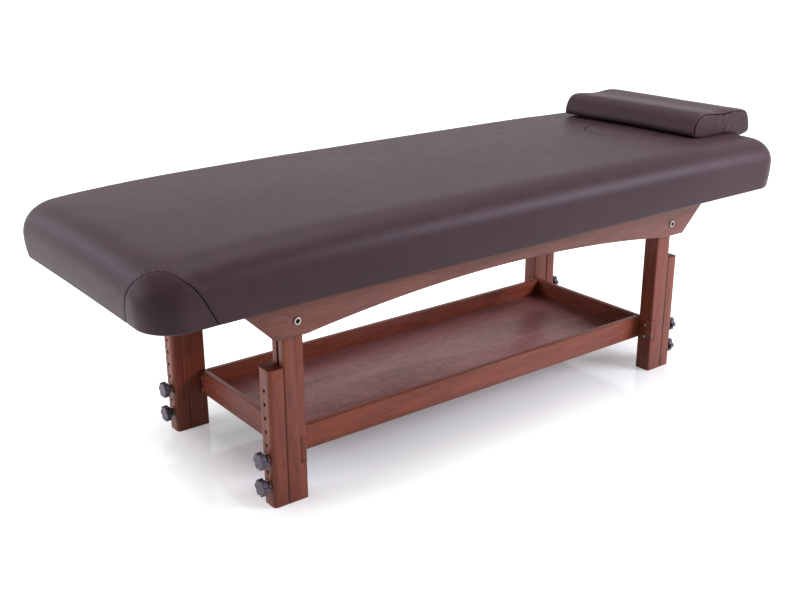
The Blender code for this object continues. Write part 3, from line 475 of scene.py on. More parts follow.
def top_rings(edge_ring, directions):
    """Rings from the rounded edge across the top to the face hole's rim and down its wall."""
    hole = oval_points(directions, settings("cover").hole_rim)
    rings = []
    for share in np.linspace(0, 1, 58)[1:] ** 1.15:
        xy = edge_ring[:, :2] * (1 - share) + hole * share
        rings.append(at_height(xy, top_height(*xy.T)))
    rings += rim_rings(directions, rings[-1][:, 2], 0.0, 1)
    wall = rings[-1]
    for share in (0.12, 0.35, 0.7, 1.0):
        rings.append(at_height(wall[:, :2], wall[:, 2] * (1 - share) + RECESS_TOP * share))
    return rings


def cushion_skin():
    """The whole cover as one closed skin round the board's recess and the face hole."""
    place, out = outline_at(outline_columns())
    rings = [side_points(place, out, *ring) for ring in side_rings()]
    away = rings[-1][:, :2] - HOLE_CENTRE
    rings += top_rings(rings[-1], away / np.linalg.norm(away, axis=1)[:, None])
    recess = place - out * RECESS_INSET
    hole = rings[-1][:, :2]
    for share in (0.35, 0.7, 0.93, 1.0):
        rings.append(at_height(hole * (1 - share) + recess * share, RECESS_TOP))
    rings.append(at_height(recess, UNDERSIDE + RECESS_LIP))
    rings.append(at_height(place - out * (RECESS_INSET - RECESS_LIP), UNDERSIDE))
    return finish_skin("cushion_cover", mesh_from_rings("cushion_cover", rings, True))


# Stuffing that swells the covers

CLOTH = {
    "quality": 5, "mass": 0.3, "tension_stiffness": 25, "compression_stiffness": 25,
    "bending_stiffness": 1.5, "use_pressure": True, "uniform_pressure_force": 4.0,
}
CLOTH_FRAMES = 20
NEAR_POINTS = 6  # points of the stuffing that one point of the cover follows
NEAR_BLUR = 0.002  # keeps the very nearest of them from taking over


def coarse_copy(piece, voxel):
    """The stuffing: a copy of the cover in even, coarse faces."""
    copy = piece.copy()
    copy.data = piece.data.copy()
    copy.name = f"{piece.name}_stuffing"
    bpy.context.scene.collection.objects.link(copy)
    apply_modifier(copy, "REMESH", mode="VOXEL", voxel_size=voxel)
    return copy


def swell_stuffing(copy):
    """Blow the stuffing up as cloth and give where its points were and how far they moved."""
    before = mesh_points(copy.data)
    take_only(copy)
    cloth = copy.modifiers.new("Cloth", "CLOTH")
    for key, value in CLOTH.items():
        setattr(cloth.settings, key, value)
    cloth.settings.effector_weights.gravity = 0
    cloth.point_cache.frame_start = 1
    cloth.point_cache.frame_end = CLOTH_FRAMES
    scene = bpy.context.scene
    for number in range(1, CLOTH_FRAMES + 1):
        scene.frame_set(number)
    bpy.ops.object.modifier_apply(modifier=cloth.name)
    after = mesh_points(copy.data)
    bpy.data.objects.remove(copy)
    scene.frame_set(1)
    return before, after - before


def swell_cover(piece, voxel, most, weights):
    """Let the cover follow its swelling stuffing outwards, each point by its weight and the
    distance that is the most."""
    places, moves = swell_stuffing(coarse_copy(piece, voxel))
    length = np.linalg.norm(moves, axis=1)
    moves = moves * (most * np.tanh(length / most) / np.maximum(length, 1e-9))[:, None]
    tree = KDTree(len(places))
    for index, point in enumerate(places):
        tree.insert(point, index)
    tree.balance()
    points = mesh_points(piece.data)
    normals = mesh_normals(piece.data)
    moved = points.copy()
    for index in np.nonzero(weights > 1e-3)[0]:
        found = tree.find_n(points[index], NEAR_POINTS)
        share = np.array([1 / (item[2] + NEAR_BLUR) ** 2 for item in found])
        step = (share[:, None] * moves[[item[1] for item in found]]).sum(0) / share.sum()
        inward = min(float(step @ normals[index]), 0.0)
        moved[index] += (step - normals[index] * inward) * weights[index]
    put_points(piece.data, moved)


# Seams

SEAM_STEPS = 260
SEAM_FIELD = 0.21  # from the seam's middle, beyond which no distance to it is kept
FAR = 1.0  # the distance that is kept there
PATCH_CORE = np.array([-HALF_X + 0.11, -HALF_Y + 0.11, UNDERSIDE + 0.02])
PATCH_CORNER = np.array([-HALF_X, -HALF_Y, UNDERSIDE])


def seam_line():
    """The corner seam as a fine line of points on the cover."""
    route = np.array(SEAM_ROUTE)
    for _ in range(3):
        cut = np.empty((2 * len(route) - 2, 2))
        cut[0::2] = route[:-1] * 0.75 + route[1:] * 0.25
        cut[1::2] = route[:-1] * 0.25 + route[1:] * 0.75
        route = np.vstack([route[:1], cut, route[-1:]])
    return corner_points(*spread_evenly(route, SEAM_STEPS).T)


def corner_points(run, rise):
    """Points on the near foot corner at a run along it and a rise up its profile."""
    cover = settings("cover")
    edge = cover.top_edge_radius
    place, out = outline_at(run)
    side = TOP_LEVEL - droop(*place.T) - edge - UNDERSIDE
    angle = np.clip((rise - side) / edge, 0, math.pi / 2)
    drawn = cover.draw_in * np.clip(1 - rise / side, 0, 1) ** 2
    inset = np.where(rise < side, drawn, edge_inset(angle))
    height = UNDERSIDE + np.where(rise < side, rise, side + edge * np.sin(angle))
    return at_height(place - out * inset[:, None], height)


def draw_in_seam(piece, distance, depth, width):
    """Pull the cover in along a seam."""
    dip = depth * np.exp(-(distance / width) ** 2)
    put_points(piece.data, mesh_points(piece.data) - mesh_normals(piece.data) * dip[:, None])


def seam_values(points, line):
    """Distance to the seam, less than zero inside the corner patch, and the run along it."""
    distance = np.full(len(points), FAR)
    along = np.zeros(len(points))
    steps = distances_along(line)
    forward = np.gradient(line, axis=0)
    for index in np.nonzero(np.linalg.norm(points - line.mean(0), axis=1) < SEAM_FIELD)[0]:
        gaps = np.linalg.norm(line - points[index], axis=1)
        nearest = int(gaps.argmin())
        tangent = forward[nearest] / np.linalg.norm(forward[nearest])
        offset = points[index] - line[nearest]
        slide = float(offset @ tangent)
        inward = np.cross(tangent, line[nearest] - PATCH_CORE)
        if (PATCH_CORNER - line[nearest]) @ inward < 0:
            inward = -inward
        side = -1.0 if offset @ inward > 0 else 1.0
        distance[index] = side * math.sqrt(max(gaps[nearest] ** 2 - slide ** 2, 0))
        along[index] = steps[nearest] + slide
    return distance, along


# Materials

def toned(colour, share):
    """A colour times a share, at most 1 in each channel."""
    return [min(channel * share, 1) for channel in colour]


class Nodes:
    """Short ways to add and join the nodes of a material or of the world."""

    def __init__(self, owner, output="OutputMaterial"):
        owner.use_nodes = True
        self.owner = owner
        self.tree = owner.node_tree
        self.tree.nodes.clear()
        self.output = self.add(output)

    def give(self, target, value):
        """Join a socket to an input, or set the input to a number, vector or colour."""
        if isinstance(value, bpy.types.NodeSocket):
            self.tree.links.new(value, target)
        elif target.type == "RGBA":
            target.default_value = (*value[:3], 1)
        else:
            target.default_value = value

    def add(self, kind, inputs=None, **values):
        node = self.tree.nodes.new(f"ShaderNode{kind}")
        for key, value in values.items():
            setattr(node, key, value)
        for key, value in (inputs or {}).items():
            self.give(node.inputs[key], value)
        return node

    def show(self, node):
        self.give(self.output.inputs["Surface"], node.outputs[0])

    def seen_directly(self):
        """1 for what the camera sees, also in a reflection or through glass, and 0 for light."""
        path = self.add("LightPath").outputs
        either = self.math("MAXIMUM", path["Is Camera Ray"], path["Is Glossy Ray"])
        return self.math("MAXIMUM", either, path["Is Transmission Ray"])

    def math(self, operation, first, second=0.0):
        return self.add("Math", {0: first, 1: second}, operation=operation).outputs[0]

    def times(self, first, second):
        return self.math("MULTIPLY", first, second)

    def blend(self, first, second, share):
        """A sum of two values, of which the first has a share and the second the rest."""
        return self.math("ADD", self.times(first, share), self.times(second, 1 - share))

    def position(self):
        return self.add("TexCoord").outputs["Object"]

    def stretched(self, *scale):
        return self.add("Mapping", {"Vector": self.position(), "Scale": scale}).outputs[0]

    def noise(self, vector, scale, detail=3.0, rough=0.5, distortion=0.0):
        inputs = {"Vector": vector, "Scale": scale, "Detail": detail, "Roughness": rough,
                  "Distortion": distortion}
        return self.add("TexNoise", inputs).outputs["Fac"]

    def cells(self, vector, scale, smooth=0.6):
        inputs = {"Vector": vector, "Scale": scale, "Smoothness": smooth}
        return self.add("TexVoronoi", inputs, feature="SMOOTH_F1").outputs["Distance"]

    def levels(self, value, low, high, to_low=0.0, to_high=1.0):
        inputs = {"Value": value, "From Min": low, "From Max": high, "To Min": to_low,
                  "To Max": to_high}
        return self.add("MapRange", inputs, clamp=True).outputs["Result"]

    def mix(self, share, first, second):
        """A colour between two, of which each is a socket or a colour."""
        return self.add("Mix", {0: share, 6: first, 7: second}, data_type="RGBA").outputs[2]

    def blend_colours(self, value, *stops):
        node = self.add("ValToRGB", {0: value})
        elements = node.color_ramp.elements
        while len(elements) < len(stops):
            elements.new(0.5)
        for element, (place, colour) in zip(elements, stops):
            element.position = place
            element.color = (*colour[:3], 1)
        return node.outputs[0]

    def bump(self, height, distance, strength=1.0, below=None):
        inputs = {"Height": height, "Distance": distance, "Strength": strength}
        if below is not None:
            inputs["Normal"] = below
        return self.add("Bump", inputs).outputs[0]

    def near_line(self, value, width):
        """1 on the line where value is zero, falling off over width to both sides."""
        share = self.math("DIVIDE", value, width)
        return self.math("EXPONENT", self.times(self.times(share, share), -1.0))

    def value(self, name):
        node = self.add("Attribute", attribute_type="GEOMETRY", attribute_name=name)
        return node.outputs["Fac"]


class MaterialNodes(Nodes):
    """The nodes of a new material, with its shader."""

    def __init__(self, name):
        super().__init__(bpy.data.materials.new(name))
        self.shader = self.add("BsdfPrincipled")
        self.show(self.shader)

    def finish(self, colour, roughness, normal=None, specular=0.5, metallic=0.0):
        """Give the shader its inputs, and the finished material back."""
        inputs = {"Base Color": colour, "Roughness": roughness, "Metallic": metallic,
                  "Specular IOR Level": specular}
        if normal is not None:
            inputs["Normal"] = normal
        for key, value in inputs.items():
            self.give(self.shader.inputs[key], value)
        return self.owner


def leatherette(name, seam=None):
    """Pebbled leatherette, with the groove and puckers of a seam where one is given."""
    cover = settings("cover")
    n = MaterialNodes(name)
    place = n.position()
    broad = n.noise(place, 2.4, 2)
    patches = n.noise(place, 26, 3, 0.55)
    fine = n.noise(place, 0.35 / cover.grain, 4, 0.6)
    pebbles = n.cells(place, 1 / cover.grain)
    shade = n.levels(n.blend(broad, patches, 0.55), 0.38, 0.62)
    colour = n.mix(shade, toned(cover.colour, 0.88), toned(cover.colour, 1.14))
    colour = n.mix(n.levels(pebbles, 0.25, 0.75, 0.0, 0.16), colour, toned(cover.colour, 0.55))
    rough = n.levels(n.math("ADD", patches, n.times(fine, 0.4)), 0.45, 0.95,
                     cover.roughness - 0.035, cover.roughness + 0.045)
    grain = n.math("SUBTRACT", n.times(fine, 0.5), n.times(pebbles, 0.8))
    normal = n.bump(n.noise(place, 11, 2), 0.0010, 0.35)
    normal = n.bump(grain, 0.00022, 0.5, normal)
    if seam:
        colour, rough, normal = sewn(n, colour, rough, normal, **seam)
    return n.finish(colour, rough, normal, specular=0.12)


def sewn(n, colour, rough, normal, distance, run, pucker, middle, span, slant, pitch):
    """Add a seam to leatherette: the names of its distance and run values, then its puckers'
    length, their middle along it and its span, their slant and their number per metre."""
    cover = settings("cover")
    distance, run = n.value(distance), n.value(run)
    groove = n.near_line(distance, cover.seam_width)
    fade = n.times(n.near_line(distance, pucker),
                   n.near_line(n.math("SUBTRACT", run, middle), span))
    slanted = n.math("ADD", n.times(run, pitch), n.times(distance, slant))
    across = n.times(distance, 18.0)
    folds = n.noise(n.add("CombineXYZ", {0: slanted, 1: across}).outputs[0], 1.0, 2)
    normal = n.bump(n.times(folds, fade), 0.006, 1.0, normal)
    # Painted highlight: the crests of the puckers are lighter.
    pucker_highlight = n.times(n.times(fade, n.levels(folds, 0.48, 0.66)), 0.6)
    colour = n.mix(pucker_highlight, colour, toned(cover.colour, 2.2))
    beside = n.math("ADD", distance, cover.seam_width * 2.2)
    shoulder = n.near_line(beside, cover.seam_width * 1.3)
    ridge = n.math("SUBTRACT", n.times(shoulder, 0.5), groove)
    normal = n.bump(ridge, 0.0014, 1.0, normal)
    # Painted shade: the seam's groove is darkened almost to black.
    colour = n.mix(n.levels(groove, 0.06, 0.62, 0.0, 0.98), colour, toned(cover.colour, 0.03))
    rough = n.math("MAXIMUM", rough, n.levels(groove, 0.1, 0.5))
    return colour, rough, normal


def stained_wood(name, axis, lift=1.0, gloss=None, end_tone=0.5, tint=(1, 1, 1)):
    """Stained, lacquered hardwood whose grain runs along an axis."""
    wood = settings("wood")
    dark = [channel * lift * share for channel, share in zip(wood.dark, tint)]
    light = [channel * lift * share for channel, share in zip(wood.light, tint)]
    middle = [a * 0.4 + b * 0.6 for a, b in zip(dark, light)]
    gloss = wood.lacquer if gloss is None else gloss
    index = "XYZ".index(axis)
    n = MaterialNodes(name)
    place = n.position()

    def along_grain(stretch):
        scale = [1.0, 1.0, 1.0]
        scale[index] = stretch
        return n.stretched(*scale)

    fibres = n.noise(along_grain(0.07), 290, 6, 0.62, 0.5)
    flames = n.noise(along_grain(0.11), 26, 4, 0.55, 1.4)
    pores = n.cells(along_grain(0.03), 620, 0.2)
    broad = n.noise(place, 4.5, 2)
    colour = n.blend_colours(n.blend(fibres, flames, 0.55), (0.30, dark), (0.45, middle),
                             (0.55, light), (0.72, toned(light, 1.22)))
    colour = n.mix(n.levels(broad, 0.35, 0.65, 0.0, 0.28), colour, toned(light, 0.55))
    colour = n.mix(n.levels(pores, 0.05, 0.30, 0.30, 0.0), colour, toned(dark, 0.30))
    facing = n.add("SeparateXYZ", {0: n.add("TexCoord").outputs["Normal"]}).outputs[index]
    end_grain = n.levels(n.math("ABSOLUTE", facing), 0.75, 0.92)
    rings = n.levels(n.noise(place, 180, 4, 0.7), 0.35, 0.65)
    colour = n.mix(end_grain, colour, n.mix(rings, toned(dark, 0.8), toned(light, end_tone)))
    # Darker along the rounded edges, in random patches.
    rounded = n.add("Bevel", {"Radius": 0.0028}, samples=4).outputs[0]
    flat = n.add("NewGeometry").outputs["True Normal"]
    across = n.add("VectorMath", {0: rounded, 1: flat}, operation="DOT_PRODUCT").outputs["Value"]
    dark_edges = n.times(n.levels(across, 0.995, 0.90), n.levels(n.noise(place, 55, 3), 0.30, 0.62))
    colour = n.mix(n.times(dark_edges, 0.55), colour, toned(dark, 0.4))
    rough = n.levels(fibres, 0.3, 0.7, gloss - 0.04, gloss + 0.08)
    relief = n.math("SUBTRACT", fibres, n.levels(pores, 0.05, 0.3, 0.8, 0.0))
    return n.finish(colour, rough, n.bump(relief, 0.00016, 0.45), specular=0.3)


def panel_wood(name):
    """The tray's veneered panel: short dark pores in a brown ground, along X."""
    n = MaterialNodes(name)
    strokes = n.noise(n.stretched(0.10, 1.0, 1.0), 330, 5, 0.65, 0.4)
    pores = n.cells(n.stretched(0.09, 1.0, 1.0), 520, 0.3)
    broad = n.noise(n.stretched(0.25, 1.0, 1.0), 9, 3, 0.5, 0.8)
    ground = n.blend_colours(n.blend(strokes, broad, 0.6), (0.38, (0.130, 0.046, 0.042)),
                             (0.50, (0.270, 0.106, 0.097)), (0.62, (0.370, 0.165, 0.152)))
    colour = n.mix(n.levels(pores, 0.06, 0.34, 0.55, 0.0), ground, (0.022, 0.010, 0.010))
    rough = n.levels(n.noise(n.position(), 40, 3), 0.35, 0.65, 0.34, 0.42)
    normal = n.bump(n.levels(pores, 0.05, 0.35), 0.00018, 0.5)
    return n.finish(colour, rough, normal, specular=0.4)


def plywood(name):
    """Bare plywood: pale rotary veneer with broad waves along X."""
    n = MaterialNodes(name)
    waves = n.noise(n.stretched(0.12, 1.0, 1.0), 16, 4, 0.6, 2.2)
    fibres = n.noise(n.stretched(0.05, 1.0, 1.0), 260, 4, 0.6)
    height = n.add("SeparateXYZ", {0: n.position()}).outputs[2]
    layers = n.levels(n.math("PINGPONG", height, 0.0015), 0.0004, 0.0011, 0.22, 0.0)
    colour = n.blend_colours(n.blend(waves, fibres, 0.6), (0.36, (0.36, 0.21, 0.10)),
                             (0.52, (0.55, 0.37, 0.20)), (0.66, (0.66, 0.48, 0.29)))
    colour = n.mix(layers, colour, (0.25, 0.14, 0.07))
    rough = n.levels(fibres, 0.3, 0.7, 0.58, 0.72)
    return n.finish(colour, rough, n.bump(fibres, 0.0002, 0.5), specular=0.3)


def plated_metal(name, colour, roughness, brushed=0.0):
    """Plated steel with faint wear, fine turning marks and painted shade in its sockets."""
    n = MaterialNodes(name)
    wear = n.noise(n.position(), 220, 4, 0.6)
    marks = n.noise(n.stretched(1.0, 1.0, 0.15), 1600, 2)
    tone = n.mix(n.levels(wear, 0.35, 0.7), toned(colour, 0.86), colour)
    # Painted shade: the sockets are darkened almost to black.
    tone = n.mix(n.value("recess"), tone, (0.012, 0.010, 0.010))
    rough = n.levels(wear, 0.3, 0.7, roughness - 0.05, roughness + 0.09)
    return n.finish(tone, rough, n.bump(marks, 0.00005, 0.25 + brushed), metallic=1.0)


def moulded_plastic(name, colour, roughness):
    """Fine-eroded moulded plastic, slightly polished where hands rub it."""
    n = MaterialNodes(name)
    place = n.position()
    erosion = n.noise(place, 2600, 3, 0.6)
    rubbed = n.noise(place, 70, 3, 0.5)
    tone = n.mix(n.levels(rubbed, 0.35, 0.65), toned(colour, 0.86), toned(colour, 1.18))
    rough = n.levels(rubbed, 0.35, 0.65, roughness - 0.07, roughness + 0.06)
    return n.finish(tone, rough, n.bump(erosion, 0.00006, 0.4))


# What the pieces stand for

def hold(piece, body, node):
    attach(piece, body)
    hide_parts(node)


def upholster(piece, body, node, material):
    set_material(piece, material)
    hold(piece, body, node)


# Operators, one for each piece or group of like pieces

class TABLE_OT_cushion_cover(bpy.types.Operator):
    """Leatherette cover of the top, with its face hole and corner seam"""
    bl_idname = "massage_table.cushion_cover"
    bl_label = "Cushion cover"

    def execute(self, context):
        piece = cushion_skin()
        swell_cover(piece, 0.011, settings("cover").swell, self.softness(mesh_points(piece.data)))
        self.sew(piece)
        seam = {"distance": "seam", "run": "seam_run", "pucker": 0.014, "middle": 0.17,
                "span": 0.075, "slant": 0.0, "pitch": 150.0}
        upholster(piece, "table", "cushion", leatherette("cushion leatherette", seam))
        return {"FINISHED"}

    def softness(self, points):
        """How far each point may follow the stuffing: not at the board, hole or pillow."""
        x, _, z = points.T
        from_hole = np.linalg.norm((points[:, :2] - HOLE_CENTRE) / HOLE_HALF, axis=1)
        under_pillow = ramp(x, 0.60, 0.69) * ramp(z, TOP_LEVEL - 0.03, TOP_LEVEL - 0.012)
        above_board = ramp(z, UNDERSIDE + 0.004, UNDERSIDE + 0.03)
        return above_board * ramp(from_hole, 1.05, 1.9) * (1 - under_pillow)

    def sew(self, piece):
        """Draw the cover in a little along the corner seam and keep the distance to it."""
        distance, run = seam_values(mesh_points(piece.data), seam_line())
        draw_in_seam(piece, distance, 0.0010, 0.0055)
        add_values(piece.data, "seam", distance)
        add_values(piece.data, "seam_run", run)


class TABLE_OT_plug_cover(bpy.types.Operator):
    """Plug that closes the face hole"""
    bl_idname = "massage_table.plug_cover"
    bl_label = "Face plug"

    def execute(self, context):
        angles = np.linspace(0, math.tau, 240, endpoint=False)
        directions = np.column_stack([np.cos(angles), np.sin(angles)])
        inner = oval_points(directions, -PLUG_GAP - settings("cover").hole_rim)
        rings = []
        for share in np.concatenate([[0.0], np.linspace(0.06, 1.0, 26)]):
            xy = HOLE_CENTRE + (inner - HOLE_CENTRE) * share
            rings.append(at_height(xy, top_height(*xy.T)))
        rings += rim_rings(directions, rings[-1][:, 2], -PLUG_GAP, -1)
        wall, high = rings[-1][:, :2], rings[-1][:, 2]
        for share in (0.1, 0.3, 0.6, 0.9, 1.0):
            rings.append(at_height(wall, high * (1 - share) + (PLUG_LOW.z + 0.003) * share))
        for share, rise in ((0.985, 0.0006), (0.95, 0.0), (0.5, 0.0), (0.0, 0.0)):
            rings.append(at_height(HOLE_CENTRE + (wall - HOLE_CENTRE) * share, PLUG_LOW.z + rise))
        piece = finish_skin("plug_cover", mesh_from_rings("plug_cover", rings, False))
        upholster(piece, "face_plug", "face_plug", leatherette("plug leatherette"))
        return {"FINISHED"}


# The pillow's front, as shares of its depth and of its hump's height, from the bed upwards
PILLOW_RISE = (
    (0.150, 0.00), (0.105, 0.028), (0.062, 0.062), (0.030, 0.095), (0.011, 0.130), (0.003, 0.175),
    (0.000, 0.240), (0.003, 0.34), (0.010, 0.46), (0.021, 0.59), (0.036, 0.71), (0.054, 0.81),
    (0.075, 0.89), (0.100, 0.945), (0.130, 0.98), (0.165, 0.998), (0.210, 1.00),
)
PILLOW_TURN, PILLOW_TILT = math.radians(2.5), math.radians(2.2)
PILLOW_SHIFT = 0.001  # towards the head end
PILLOW_HANG = 0.011  # most that it drapes
PILLOW_SKEW = 0.03  # of its near end, as a share of the depth
FOLD_DEPTH, FOLD_PITCH, FOLD_RISE, FOLD_SEED = 0.0026, 62, 16, 3.1


class TABLE_OT_pillow_cover(bpy.types.Operator):
    """Loose pillow with a front hump, a dip and sewn end panels"""
    bl_idname = "massage_table.pillow_cover"
    bl_label = "Pillow"

    depth: FloatProperty(name="Depth", description="Front to back", unit="LENGTH", default=0.264)
    width: FloatProperty(name="Width", description="End to end", unit="LENGTH", default=0.484)
    hump: FloatProperty(
        name="Hump", description="Height of its humps", unit="LENGTH", default=0.064)
    dip: FloatProperty(
        name="Dip", description="Depth of the dip between them", unit="LENGTH", default=0.0035)
    back_rise: FloatProperty(
        name="Back rise", description="Share by which the back hump is higher", default=0.045)
    end_crown: FloatProperty(
        name="End crown", description="Bulge of its ends", unit="LENGTH", default=0.006)
    end_edge: FloatProperty(
        name="End edge", description="Rounding of its ends", unit="LENGTH", default=0.0035)

    def execute(self, context):
        piece = finish_skin("pillow_cover", self.with_panels(*self.sections(self.profile())))
        self.seat(piece)
        lifted = self.upright(mesh_points(piece.data))[:, 2]
        swell_cover(piece, 0.0055, 0.0035, ramp(lifted, 0.002, 0.022))
        welt = np.empty(len(piece.data.vertices), np.float32)
        piece.data.attributes["welt"].data.foreach_get("value", welt)
        draw_in_seam(piece, welt, 0.0011, 0.0035)
        seam = {"distance": "welt", "run": "welt_run", "pucker": 0.030, "middle": 0.27,
                "span": 0.08, "slant": 90.0, "pitch": 105.0}
        upholster(piece, "pillow", "pillow", leatherette("pillow leatherette", seam))
        return {"FINISHED"}

    def profile(self, steps=168):
        """Even points (along, height) round the pillow's cross section."""
        rise = np.array(PILLOW_RISE) * (self.depth, self.hump)
        hump_at = rise[-1, 0]
        share = np.linspace(0, 1, 24)[1:-1]
        middle = np.column_stack([hump_at + (self.depth - 2 * hump_at) * share,
                                  self.hump - self.dip * np.sin(math.pi * share) ** 2])
        fall = np.column_stack([self.depth - rise[::-1, 0], rise[::-1, 1]])
        across = np.linspace(fall[-1, 0], rise[0, 0], 12)[1:-1]
        under = np.column_stack([across, np.zeros(len(across))])
        outline = np.vstack([rise, middle, fall, under, rise[:1]])
        towards_back = ramp(outline[:, 0], self.depth * 0.4, self.depth * 0.9)
        outline[:, 1] *= 1 + self.back_rise * towards_back
        even = spread_evenly(outline, steps, endpoint=False)
        for _ in range(2):
            soft = (np.roll(even, 1, 0) + 2 * even + np.roll(even, -1, 0)) / 4
            off_bed = (even[:, 1] > 0.0015)[:, None]
            even = np.where(off_bed, soft, even)
        return even

    def scaled(self, profile, inset, across):
        """The cross section as a ring at a place across the table, drawn in all round."""
        centre = self.hump / 2
        x = (profile[:, 0] - self.depth / 2) * (1 - 2 * inset / self.depth)
        z = centre + (profile[:, 1] - centre) * (1 - 2 * inset / self.hump)
        return np.column_stack([x, np.full(len(x), across), z])

    def sections(self, profile):
        """Rings from the near end's seam to the far end's, and the rings of an end panel."""
        half, edge = self.width / 2, self.end_edge
        rim = half - self.end_crown * 0.35
        far = [(rim - edge * math.sin(a), edge * (1 - math.sin(a))) for a in RIM_ANGLES]
        near = [(-across, inset) for across, inset in far]
        middle = [(across, 0.0) for across in np.linspace(edge - rim, rim - edge, 110)[1:-1]]
        rings = [self.scaled(profile, inset, across) for across, inset in near + middle + far[::-1]]
        panel = []
        centre = np.array([0.0, 0.0, self.hump / 2])
        for share in np.linspace(1, 0, 18)[1:]:
            ring = centre + (self.scaled(profile, edge, 0.0) - centre) * share
            folds = np.array([
                noise.noise(Vector(((x - 0.7 * z) * FOLD_PITCH, z * FOLD_RISE, FOLD_SEED)))
                for x, _, z in ring])
            bulge = (half - rim) * (1 - share ** 2)
            ring[:, 1] = rim + bulge + FOLD_DEPTH * folds * (1 - share ** 5)
            panel.append(ring)
        return rings, panel

    def with_panels(self, rings, panel):
        """One skin, with the distance to the end seams kept as a value."""
        near = [ring * (1, -1, 1) for ring in reversed(panel)]
        whole = near + rings + panel
        seam_rings = (len(near), len(near) + len(rings) - 1)
        distance = []
        for number, ring in enumerate(whole):
            seam = min(seam_rings, key=lambda place: abs(place - number))
            on_panel = number < seam_rings[0] or number > seam_rings[1]
            gap = np.linalg.norm(ring - whole[seam], axis=1)
            distance.append(-gap if on_panel else gap)
        mesh = mesh_from_rings("pillow_cover", whole, False)
        add_values(mesh, "welt", np.concatenate(distance))
        add_values(mesh, "welt_run", np.tile(distances_along(rings[0]), len(whole)))
        return mesh

    def upright(self, points):
        """Where points lie on the pillow before it is turned and laid down."""
        return (np.column_stack([points, np.ones(len(points))]) @ self.unseat.T)[:, :3]

    def seat(self, piece):
        """Lay the pillow where its CAD node lies: turned a little and tilted to the head."""
        turn = Matrix.Rotation(PILLOW_TURN, 4, "Z") @ Matrix.Rotation(PILLOW_TILT, 4, "Y")
        piece.data.transform(turn)
        points = mesh_points(piece.data)
        low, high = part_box("pillow")
        x, y, _ = box_middle(low, high)
        now = (*box_middle(points.min(0), points.max(0))[:2], points[:, 2].min())
        place = Matrix.Translation(Vector((x + PILLOW_SHIFT, y, low.z)) - Vector(now))
        piece.data.transform(place)
        self.unseat = np.array((place @ turn).inverted())
        self.drape(piece)

    def drape(self, piece):
        """Let it hang over the top's crown and its rounded head end, most at the near end."""
        points = mesh_points(piece.data)
        x, y, z = self.upright(points).T
        level = np.clip(z / self.hump, 0, 1)
        near_end = ramp(-y, -self.width / 2, self.width / 2)
        bed = bed_height(points[:, 0], points[:, 1])
        hang = np.clip(points[:, 2] - z - bed, 0, PILLOW_HANG)
        points[:, 2] -= hang * (0.35 + 0.65 * near_end) * (1 - 0.6 * level)
        points[:, 1] -= PILLOW_SKEW * (x + self.depth / 2) * near_end ** 2
        points[:, 2] = np.maximum(points[:, 2], bed)
        put_points(piece.data, points)


def finished_wood(node, material):
    """A merged copy of a wooden CAD piece with softly rounded edges."""
    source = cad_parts[node]
    piece = source.copy()
    piece.data = source.data.copy()
    piece.name = f"{node}_wood"
    piece.parent = None
    for key in list(piece.keys()):
        del piece[key]
    bpy.context.scene.collection.objects.link(piece)
    apply_modifier(piece, "WELD", merge_threshold=0.00001)
    apply_modifier(piece, "DECIMATE", decimate_type="DISSOLVE", angle_limit=math.radians(0.4))
    round_edges(piece, settings("wood").edge, 3)
    smooth_by_angle(piece, 36)
    set_material(piece, material)
    return piece


def finish_wood(nodes, material):
    """Finish wooden pieces that are part of the table's fixed frame."""
    for node in nodes:
        hold(finished_wood(node, material), "table", node)


class TABLE_OT_frame_wood(bpy.types.Operator):
    """Posts, arched aprons and cross rails under the top"""
    bl_idname = "massage_table.frame_wood"
    bl_label = "Wooden frame"

    def execute(self, context):
        posts = stained_wood("post wood", "Z")
        # The aprons' bluer, more mauve tint is partly their stain and partly painted sheen.
        aprons = stained_wood("apron wood", "X", tint=(0.84, 1.18, 1.66))
        rails = stained_wood("cross rail wood", "Y", 0.8, 0.5)
        finish_wood([f"post_{end}_{side}" for end in ENDS for side in SIDES], posts)
        finish_wood([f"side_apron_{side}" for side in SIDES], aprons)
        finish_wood([f"cross_rail_{place}" for place in ("foot", "centre", "head")], rails)
        return {"FINISHED"}


class TABLE_OT_legs(bpy.types.Operator):
    """Legs that slide down on the posts, each with its row of holes"""
    bl_idname = "massage_table.legs"
    bl_label = "Outer legs"

    def execute(self, context):
        wood = stained_wood("leg wood", "Z", 1.02)
        for end in ENDS:
            for side in SIDES:
                node = f"outer_leg_{end}_{side}"
                hold(finished_wood(node, wood), f"leg_{end}_{side}", node)
        return {"FINISHED"}


FIXING_HEIGHTS = (0.1026, 0.1356)
RAIL_PAST_POST = 0.016  # from a post's inner face to the end of a tray side rail
HALF_RAIL = 0.008  # of a tray side rail's thickness


